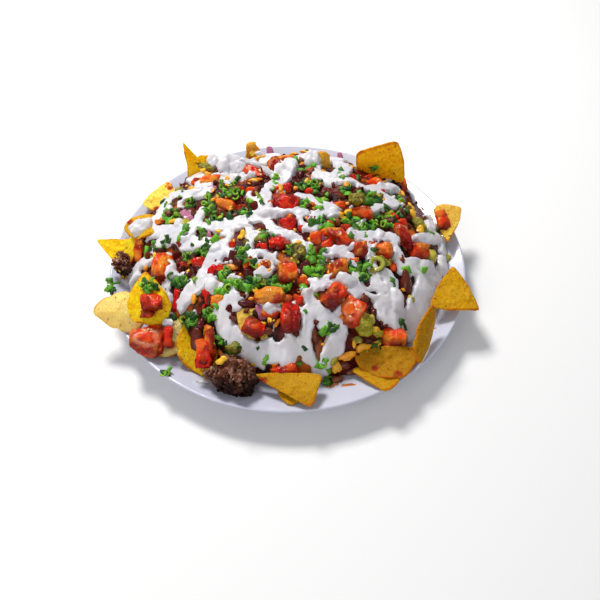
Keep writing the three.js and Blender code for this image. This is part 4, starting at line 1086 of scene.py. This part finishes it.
# Each holds px, py, half width, half height, turn, how brown and a height off the heap.
BEANS = [
    (300, 175, 3, 5, 0, 0.0), (316, 174, 6, 4, 10, 0.0), (200, 268, 7, 4, 0, 0.0),
    (217, 273, 3, 8, -20, 0.0), (209, 300, 3, 6, 15, 0.1), (180, 300, 2.5, 9, 5, 0.1),
    (406, 284, 6, 10, 10, 0.15), (233, 260, 4, 10, 0, 0.0), (247, 273, 4, 4, 0, 0.0),
    (367, 286, 4, 4, 0, 0.0), (373, 313, 4, 5, 0, 0.1), (176, 333, 4, 6, 0, 0.1), (236, 218, 5, 4, 30, 0.1),
    (221, 213, 5, 5, 0, 0.4), (315, 334, 3, 11, 15, 0.2), (320, 350, 3.5, 10, 5, 0.6),
    (305, 268, 5, 7, -20, 0.0), (246, 303, 8, 4, 0, 0.0), (258, 301, 5, 3, 0, 0.3),
    (298, 357, 5, 4, 0, 0.7), (245, 230, 4, 3, 0, 0.6), (177, 203, 10, 2.5, 25, 0.8),
    (313, 221, 5, 5, 0, 0.3), (336, 222, 5, 4, -30, 0.8), (296, 280, 2.5, 6, -25, 0.1),
    (262, 246, 6, 4, 0, 0.0), (352, 204, 4, 3, 0, 0.2), (342, 196, 4, 3, 20, 0.3), (188, 275, 4, 4, 0, 0.1),
    (196, 249, 4, 3, 0, 0.1), (328, 262, 4, 4, 0, 0.4), (386, 281, 3, 3, 0, 0.2),
    (363, 301, 4, 6, -20, 0.3), (366, 318, 5, 4, 0, 0.5), (384, 322, 4, 4, 0, 0.2),
    (402, 262, 4, 5, 0, 0.2), (393, 230, 3, 5, 10, 0.1), (420, 241, 5, 4, 0, 0.2), (379, 243, 5, 3, 0, 0.1),
    (349, 242, 5, 3, 0, 0.3), (268, 331, 6, 3, 0, 0.3), (252, 319, 4, 4, 0, 0.4), (292, 336, 5, 7, 0, 0.1),
    (297, 310, 5, 6, 0, 0.1), (168, 290, 3, 4, 0, 0.2), (154, 290, 3, 4, 0, 0.0),
    (196, 340, 5, 11, 0, 0.1, 35), (200, 325, 4, 6, 0, 0.0, 41), (338, 380, 6, 3, 0, 0.5),
    (352, 372, 6, 4, 20, 0.3), (345, 365, 6, 4, 0, 0.1), (372, 358, 6, 3, 0, 0.2), (246, 355, 7, 3, 0, 0.2),
    (262, 363, 4, 3, 0, 0.3), (222, 193, 3, 3, 0, 0.0), (255, 185, 5, 3, 0, 0.0), (332, 185, 3, 3, 0, 0.2),
    (272, 222, 4, 3, 0, 0.0), (186, 252, 3, 3, 0, 0.2), (218, 262, 3, 3, 0, 0.1),
]

bean = Finish("kidney_bean", 0.18, Specular_IOR_Level=0.3)
bean.colour(bean.mix(bean.attribute("tone"), BEAN_MAROON, BEAN_BROWN))
bean.relief(bean.noise(2), 0.25)
points, faces, tones = seen_pieces(fine_ball, BEANS, 0.6, 1.5, 0.42, 33)
make_piece("kidney_beans", keep_above_plate(points), [faces], bean.material, (), {"tone": tones})


# The dollops of cream. Thick cream stands up in lumps at the back and on three chips, and a drop of it
# fell on the plate.
DOLLOP_DEPTH = 0.55
DOLLOP_LIFT = 3.2
DOLLOP_ROUGH = 0.42

# Each holds px, py, half width, half height, turn, 0 and its height.
CREAM_DOLLOPS = [
    (226, 166, 13, 11, 0, 0, 56), (215, 162, 7, 8, 20, 0, 54), (238, 170, 8, 10, -20, 0, 58),
    (222, 177, 11, 6, 0, 0, 52), (246, 161, 7, 3, -12, 0, 64), (256, 164, 7, 2.8, -25, 0, 64),
    (266, 170, 7, 2.6, -38, 0, 63), (312, 162, 8, 10, 0, 0, 58), (168, 323, 6, 4, 0, 0, 35),
    (203, 383, 5, 2.5, 0, 0, 16.5), (142, 229, 11, 9, 10, 0, 40), (259, 153, 4, 2.5, 0, 0, 52),
]
points, faces, _ = seen_pieces(ball(4), CREAM_DOLLOPS, DOLLOP_DEPTH, DOLLOP_LIFT, DOLLOP_ROUGH, 36)
make_piece("cream_dollops", keep_above_plate(points), [faces], cream.material)


# The stains on the plate. Salsa and bean juice have run off the food in thin brown smears.
# Each holds px, py and the half width and half height in pixels.
SMEARS = [
    (433, 329, 5, 1.5), (349, 385, 9, 2), (330, 384, 6, 3), (418, 197, 2.5, 1), (428, 340, 2, 1),
    (210, 378, 5, 2), (345, 156, 6, 2.5), (364, 396, 4, 1),
]
SMEAR_COLUMNS = 24
SMEAR_ROWS = 4
SMEAR_DEPTH = 0.25

juice = Finish("thin_sauce", 0.2, Specular_IOR_Level=0.5)
juice.colour(juice.mix(juice.noise(4), (0.42, 0.12, 0.03), (0.62, 0.28, 0.12)))
share = np.linspace(0, 1, SMEAR_ROWS + 1)[1:, None]
turn = np.linspace(0, 2 * np.pi, SMEAR_COLUMNS, endpoint=False)
for number, (px, py, wide, high) in enumerate(SMEARS, 1):
    uneven = 1 + 0.6 * clouds(np.stack([np.cos(turn), np.sin(turn), 0 * turn], axis=-1), 0.5, number)
    centre = at_height(px, py, 15)
    for step in range(4):
        centre = at_height(px, py, plate_top(np.hypot(centre[0], centre[1])))
    x = centre[0] + share * uneven * np.cos(turn) * wide * PIXEL_SIZE
    y = centre[1] + share * uneven * np.sin(turn) * high * PIXEL_SIZE / FORESHORTENING
    swell = SMEAR_DEPTH * (1 - share ** 4)
    skin = [np.stack([x, y, plate_top(np.hypot(x, y)) + side * swell], axis=-1) for side in (1, -1)]
    middle = plate_top(np.hypot(centre[0], centre[1]))
    points = np.concatenate([
        [[centre[0], centre[1], middle + SMEAR_DEPTH]], skin[0].reshape(-1, 3),
        skin[1][::-1][1:].reshape(-1, 3), [[centre[0], centre[1], middle - SMEAR_DEPTH]],
    ])
    faces = capped_faces(2 * SMEAR_ROWS - 1, SMEAR_COLUMNS)
    make_piece(f"sauce_smear_{number}", points, faces, juice.material)


# The guacamole and the avocado. Soft green-yellow lumps, mashed with a fork, with firmer bits in them.
AVOCADO_GREEN = (0.40, 0.36, 0.012)
AVOCADO_YELLOW = (0.66, 0.58, 0.09)
AVOCADO_OLIVE = (0.20, 0.165, 0.012)
AVOCADO_BROWN = (0.050, 0.028, 0.006)

# Each holds px, py, half width and half height on the picture, half depth in millimetres, turn and olive.
AVOCADOS = [(431, 256, 6, 8, 5, 0, 0.0), (364, 326, 9, 11, 7, 0.2, 0.3), (357, 200, 10, 6, 6, 0, 0.8),
            (420, 226, 6, 10, 6, 0.3, 0.6)]

# Small bits: px, py, half width, half height, turn, how olive and a height off the heap.
SMALL_AVOCADOS = [
    (446, 258, 4, 5, 0, 0.1), (378, 197, 5, 4, 0, 0.9), (390, 214, 4, 3, 0, 0.1), (261, 239, 6, 7, 0, 0.9),
    (298, 254, 7, 9, 0, 1.0), (229, 281, 5, 4, 0, 0.6), (262, 283, 6, 3, 5, 0.3), (280, 286, 9, 3, -5, 0.3),
    (180, 192, 4, 5, 0, 0.5), (236, 190, 4, 3, 20, 0.3), (258, 198, 3, 6, 10, 0.2),
    (185, 223, 4, 4, 0, 0.1), (333, 361, 4, 4, 0, 0.4), (345, 280, 5, 3, 0, 0.8), (411, 301, 3, 6, 5, 0.2),
    (325, 268, 5, 4, 0, 0.9), (247, 243, 4, 3, 0, 0.8), (370, 318, 4, 4, 0, 0.1), (378, 334, 5, 4, 0, 0.1),
    (357, 340, 4, 3, 0, 0.7), (408, 212, 4, 6, 0, 0.8), (366, 205, 4, 3, 0, 0.7), (294, 262, 5, 3, 0, 0.8),
    (208, 167, 7, 3.5, -20, 0.7, 56), (201, 165, 3, 2.5, 0, 0.8, 57), (285, 303, 4, 4, 0, 0.1),
    (235, 349, 10, 6, 0, 0.95), (384, 262, 5, 6, -20, 0.6), (372, 271, 4, 4, 0, 0.5),
]

avocado = Finish("avocado_flesh", 0.35, Specular_IOR_Level=0.25, Subsurface_Weight=0.1,
                 Subsurface_Scale=0.002)
green = avocado.mix(avocado.noise(5, 0.35, 0.65), AVOCADO_GREEN, AVOCADO_YELLOW)
dull = avocado.mix(avocado.noise(3.5, 0.42, 0.58, 3), AVOCADO_BROWN, AVOCADO_OLIVE)
dull = avocado.mix(avocado.times(avocado.noise(2.4, 0.56, 0.66, 2), 0.7), dull, AVOCADO_YELLOW)
avocado.colour(avocado.mix(avocado.attribute("olive"), green, dull))
avocado.relief(avocado.noise(1.8, 0.3, 0.7, 3), 0.9)

for number, (px, py, wide, high, deep, turn, olive) in enumerate(AVOCADOS, 1):
    half = np.array([wide * PIXEL_SIZE, high * PIXEL_SIZE, deep])
    uneven = 1 + 0.28 * clouds(fine_ball[0], 0.7, number) + 0.2 * clouds(fine_ball[0], 0.3, number)
    shape = fine_ball[0] * uneven[:, None]
    points = (shape * half * 0.97) @ turned(0.35, 0, turn).T + on_heap(px, py, 3.5)
    make_piece(f"guacamole_lump_{number}", points, [fine_ball[1]], avocado.material,
               [f"guacamole_{number}"], {"olive": np.full(len(points), olive)})

bits, faces, olive = seen_pieces(fine_ball, SMALL_AVOCADOS, 0.7, 1.8, 0.55, 27)
make_piece("avocado_bits", keep_above_plate(bits), [faces], avocado.material, (),
           {"olive": olive})


# The red onion. Chopped layers of the bulb: curved petals about a millimetre thick, pinkish white with a
# purple skin on their outer face.
ONION_WHITE = (0.80, 0.46, 0.52)
ONION_PURPLE = (0.33, 0.05, 0.16)

# Each holds px, py, half length in millimetres and turn.
ONIONS = [
    (189, 215, 8, 0.7), (190, 214, 7, 0.9), (188, 217, 6, 0.4), (208, 235, 4, 0.2), (313, 220, 4, 1.2),
    (335, 205, 4, 0.3), (321, 238, 4, 1.0), (147, 340, 5, 2.0), (267, 253, 3, 0.5), (352, 226, 4, 2.4),
    (270, 152, 5, 0.2), (212, 189, 5, 1.6), (340, 157, 4, 0.1), (262, 312, 6, 0.3),
]


def petal(length, width, thickness, bend):
    """A closed curved strip: a cube's skin flattened to a sheet and bent about its width by a parabola."""
    points, faces = cube_skin(6)
    swell = 1.1 / np.linalg.norm(points[:, :2], axis=1, keepdims=True).clip(1) ** 0.5
    sheet = np.concatenate([points[:, :2] * swell, points[:, 2:]], axis=1) * [length, width, thickness / 2]
    sheet[:, 2] -= bend * (sheet[:, 0] / length) ** 2
    return sheet, faces


onion = Finish("red_onion_layer", 0.22, Specular_IOR_Level=0.55, Subsurface_Weight=0.2,
               Subsurface_Scale=0.002)
onion.colour(onion.mix(onion.times(onion.attribute("skin"), 0.8), ONION_WHITE, ONION_PURPLE))
onion.relief(onion.noise(3), 0.2)

onion_points = []
onion_faces = []
onion_skin = []
for number, (px, py, length, turn) in enumerate(ONIONS):
    sheet, faces = petal(length, length * 0.55, 1.6, length * 0.28)
    stack = number if number < 3 else 0
    centre = on_heap(px, py, 2.2 + 1.5 * stack)
    frame_here = frames_on(ground_normal(centre[0:1], centre[1:2]) + [[0.3, -0.3, 0]], np.array([turn]))[0]
    onion_skin.append(cube_skin(6)[0][:, 2] > 0.9)
    onion_faces.append(faces + sum(len(part) for part in onion_points))
    onion_points.append(sheet @ frame_here.T + centre)
make_piece("red_onion_petals", keep_above_plate(np.concatenate(onion_points)), [np.concatenate(onion_faces)],
           onion.material, ["red_onion_1"], {"skin": np.concatenate(onion_skin)})


# The pickled pepper. One slice lies on the cream: a ring of olive-green wall with a darker skin outside.
PEPPER_PLACE = (377, 264)
PEPPER_RADIUS = 4.6
PEPPER_WALL = 1.9
PEPPER_LIFT = 5
PEPPER_TURN = (0.5, -0.2, 0)
PEPPER_STEPS = 64
PEPPER_SIDES = 20

pepper = Finish("pickled_pepper", 0.2, Specular_IOR_Level=0.6)
pepper.colour(pepper.mix(pepper.attribute("skin"), (0.38, 0.38, 0.03), (0.10, 0.12, 0.012)))
pepper.relief(pepper.noise(2), 0.2)
around = np.linspace(0, 2 * np.pi, PEPPER_STEPS, endpoint=False)[:, None]
section = np.linspace(0, 2 * np.pi, PEPPER_SIDES, endpoint=False)[None, :]
wall = PEPPER_WALL * (1 + 0.08 * np.cos(2 * section))
radius = PEPPER_RADIUS * (1 + 0.05 * np.cos(3 * around)) + wall * np.cos(section) * 0.9
level = wall * np.sin(section) + 0 * around
ring = np.stack([radius * np.cos(around), radius * np.sin(around), level], axis=-1)
ring_faces = band_faces(PEPPER_STEPS, PEPPER_SIDES)
start = np.arange(PEPPER_SIDES)
beside = (start + 1) % PEPPER_SIDES
base = (PEPPER_STEPS - 1) * PEPPER_SIDES
last = np.stack([base + start, base + beside, beside, start], axis=-1)
ring_points = ring.reshape(-1, 3) @ turned(*PEPPER_TURN).T + on_heap(*PEPPER_PLACE, PEPPER_LIFT)
outer_side = np.broadcast_to(np.cos(section) > 0.6, (PEPPER_STEPS, PEPPER_SIDES)).ravel()
make_piece("pepper_slice", ring_points, [np.concatenate([ring_faces, last])], pepper.material,
           ["pepper_ring"], {"skin": outer_side})


# The herbs. Spring onion tops cut across into small rings and torn leaves of parsley lie in small heaps over
# everything. They are mid green outside and bright yellow-green inside.
HERB_DARK = (0.014, 0.070, 0.010)
HERB_GREEN = (0.13, 0.42, 0.02)
HERB_BRIGHT = (0.46, 0.66, 0.05)

# Each heap holds px, py and its radius in pixels, and a height where it doesn't lie on the heap of food.
HERB_HEAPS = [
    (307, 165, 8, None), (340, 173, 6, None), (235, 190, 9, None), (222, 192, 8, None), (255, 204, 9, None),
    (243, 212, 8, None), (217, 214, 9, None), (209, 208, 7, None), (172, 214, 10, None), (180, 195, 5, None),
    (190, 203, 6, None), (201, 233, 5, None), (272, 186, 4, None), (302, 186, 6, None), (315, 184, 6, None),
    (306, 205, 7, None), (324, 199, 6, None), (345, 189, 6, None), (366, 200, 10, None), (379, 198, 8, None),
    (395, 199, 6, None), (327, 225, 7, None), (354, 222, 9, None), (375, 223, 10, None), (389, 221, 8, None),
    (362, 231, 7, None), (399, 211, 4, None), (434, 231, 5, None), (156, 248, 7, None), (148, 254, 6, None),
    (168, 242, 5, None), (196, 254, 9, None), (186, 257, 6, None), (207, 248, 6, None), (245, 253, 8, None),
    (250, 262, 7, None), (262, 233, 5, None), (292, 250, 6, None), (315, 256, 10, None), (316, 272, 9, None),
    (325, 266, 7, None), (362, 267, 8, None), (366, 277, 6, None), (350, 266, 5, None), (392, 283, 4, None),
    (225, 272, 5, None), (221, 290, 6, None), (233, 285, 7, None), (246, 283, 7, None), (257, 283, 6, None),
    (271, 283, 7, None), (284, 287, 6, None), (183, 282, 6, None), (148, 285, 8, 50), (112, 286, 6, 29),
    (190, 320, 8, None), (209, 316, 6, None), (221, 338, 5, None), (235, 352, 9, None), (328, 328, 8, None),
    (398, 324, 4, None), (286, 307, 4, None), (265, 360, 4, None), (291, 364, 5, None), (322, 364, 6, None),
    (374, 352, 6, None), (327, 383, 4, None), (167, 373, 3, None), (374, 166, 4, 45),
]
HERBS_PER_AREA = 0.12
LOOSE_HERBS = 80
HERB_LIFT = 3.0
RING_SIDES = 10
LEAF_STEPS = 3


def tube_piece(sides, arc, height, wall):
    """A strip of a short tube: a rectangle of wall by height swept about an arc, closed into a ring or
    capped at both ends. Its inner face is marked 1."""
    whole = arc > 6
    turn = np.linspace(0, arc, sides, endpoint=not whole)[:, None]
    radius = np.array([[1.0, 1.0, 1 - wall, 1 - wall]])
    level = np.array([[-height, height, height, -height]])
    points = np.stack([radius * np.cos(turn), radius * np.sin(turn), level + 0 * turn], axis=-1)
    points = points.reshape(-1, 3)
    faces = band_faces(sides, 4)
    ends = np.array([[0, 1, 2, 3]])
    if whole:
        start = np.arange(4)
        beside = (start + 1) % 4
        base = (sides - 1) * 4
        faces = np.concatenate([faces, np.stack([base + start, base + beside, beside, start], axis=-1)])
    else:
        faces = np.concatenate([faces, ends[:, ::-1], ends + (sides - 1) * 4])
    return points, faces, np.tile([0.0, 0.0, 1.0, 1.0], sides)


def torn_leaf(length, width, thickness, bend):
    """A curved bit of leaf: a coarse cube's skin flattened and bent, its underside marked 1."""
    points, faces = cube_skin(LEAF_STEPS)
    sheet = points * [length, width, thickness / 2]
    sheet[:, 2] -= bend * (points[:, 0] ** 2 + 0.4 * points[:, 1] ** 2)
    return sheet, faces, (points[:, 2] < -0.9) * 1.0


herb = Finish("chopped_herbs", 0.4, Specular_IOR_Level=0.3)
leaf = herb.mix(herb.attribute("tone"), HERB_DARK, HERB_GREEN)
herb.colour(herb.mix(herb.attribute("inner"), leaf, HERB_BRIGHT))
herb.relief(herb.noise(1.5), 0.3)

random = np.random.default_rng(21)
spots = []
for px, py, radius, z in HERB_HEAPS:
    count = 3 + int(radius ** 2 * HERBS_PER_AREA)
    away = radius * np.sqrt(random.random(count))
    turn = random.random(count) * 2 * np.pi
    high = HERB_LIFT * (0.6 + random.random(count) * (1.2 - away / radius))
    left = px + away * np.cos(turn)
    down = py + 0.8 * away * np.sin(turn)
    spots.append(on_heap(left, down, high) if z is None else at_height(left, down, z + 0.4 * high))
x, y = spread_over_heap(LOOSE_HERBS, random)
lift = np.where(inside_cream(x, y) > 0, CREAM_HEIGHT + 0.6, 1.8)
spots.append(np.stack([x, y, ground_top(x, y) + lift], axis=-1))
spots = np.concatenate(spots)
kind = random.choice(4, len(spots), p=[0.10, 0.16, 0.44, 0.30])
shapes = [
    (tube_piece(RING_SIDES, 2 * np.pi, 0.6, 0.38), 2.5), (tube_piece(6, 3.6, 0.8, 0.4), 3.0),
    (torn_leaf(1.0, 0.7, 0.5, 0.3), 3.4), (torn_leaf(1.0, 0.32, 0.4, 0.25), 4.1),
]
herb_points = []
herb_faces = []
herb_tones = []
herb_inner = []
for which, ((points, faces, inner), size) in enumerate(shapes):
    places = spots[kind == which]
    count = len(places)
    sizes = size * (0.7 + 0.5 * random.random((count, 1))) * np.ones((1, 3))
    normals = ground_normal(places[:, 0], places[:, 1]) + 0.7 * random.normal(size=(count, 3))
    frames = frames_on(normals, random.random(count) * 6.28)
    copies, copied = scattered((points, faces), places, sizes, frames, 0.3, 31)
    herb_faces.append(copied + sum(len(part) for part in herb_points))
    herb_points.append(copies)
    herb_tones.append(np.repeat(np.clip(1.9 * random.random(count) - 0.5, 0, 1.25), len(points)))
    herb_inner.append(np.tile(inner, count) * np.repeat(0.25 + 0.75 * random.random(count), len(points)))
make_piece("chopped_herbs", keep_above_plate(np.concatenate(herb_points)), [np.concatenate(herb_faces)],
           herb.material, (),
           {"tone": np.concatenate(herb_tones), "inner": np.concatenate(herb_inner)})


# The stage and the light. A plain pale floor, one soft light from behind on the left as in the photograph,
# and a weaker one from the front on the same side.
floor_mesh = bpy.data.meshes.new("floor")
floor_mesh.from_pydata([(-4, -4, 0), (4, -4, 0), (4, 4, 0), (-4, 4, 0)], [], [(0, 1, 2, 3)])
floor = bpy.data.objects.new("floor", floor_mesh)
bpy.context.scene.collection.objects.link(floor)
pale = Finish("pale_floor", 0.8)
pale.colour((0.9, 0.9, 0.9))
floor_mesh.materials.append(pale.material)


def soft_light(name, place, size, watts, tint):
    """A square area light at place, turned towards the middle of the heap."""
    light = bpy.data.lights.new(name, "AREA")
    light.size = size
    light.energy = watts
    light.color = tint
    lamp = bpy.data.objects.new(name, light)
    lamp.location = place
    lamp.rotation_euler = (Vector((0, 0, 0.04)) - Vector(place)).to_track_quat("-Z", "Y").to_euler()
    bpy.context.scene.collection.objects.link(lamp)


soft_light("key", (-0.32, 0.6, 0.95), 0.3, 13.2, (1.0, 0.98, 0.95))
soft_light("fill", (-0.45, -0.9, 0.6), 0.8, 3.8, (1.0, 0.98, 0.96))
world = bpy.data.worlds.new("studio")
world.use_nodes = True
world.node_tree.nodes["Background"].inputs["Color"].default_value = (0.93, 0.95, 1.0, 1)
world.node_tree.nodes["Background"].inputs["Strength"].default_value = 0.37
bpy.context.scene.world = world
bpy.context.scene.view_settings.view_transform = "Standard"
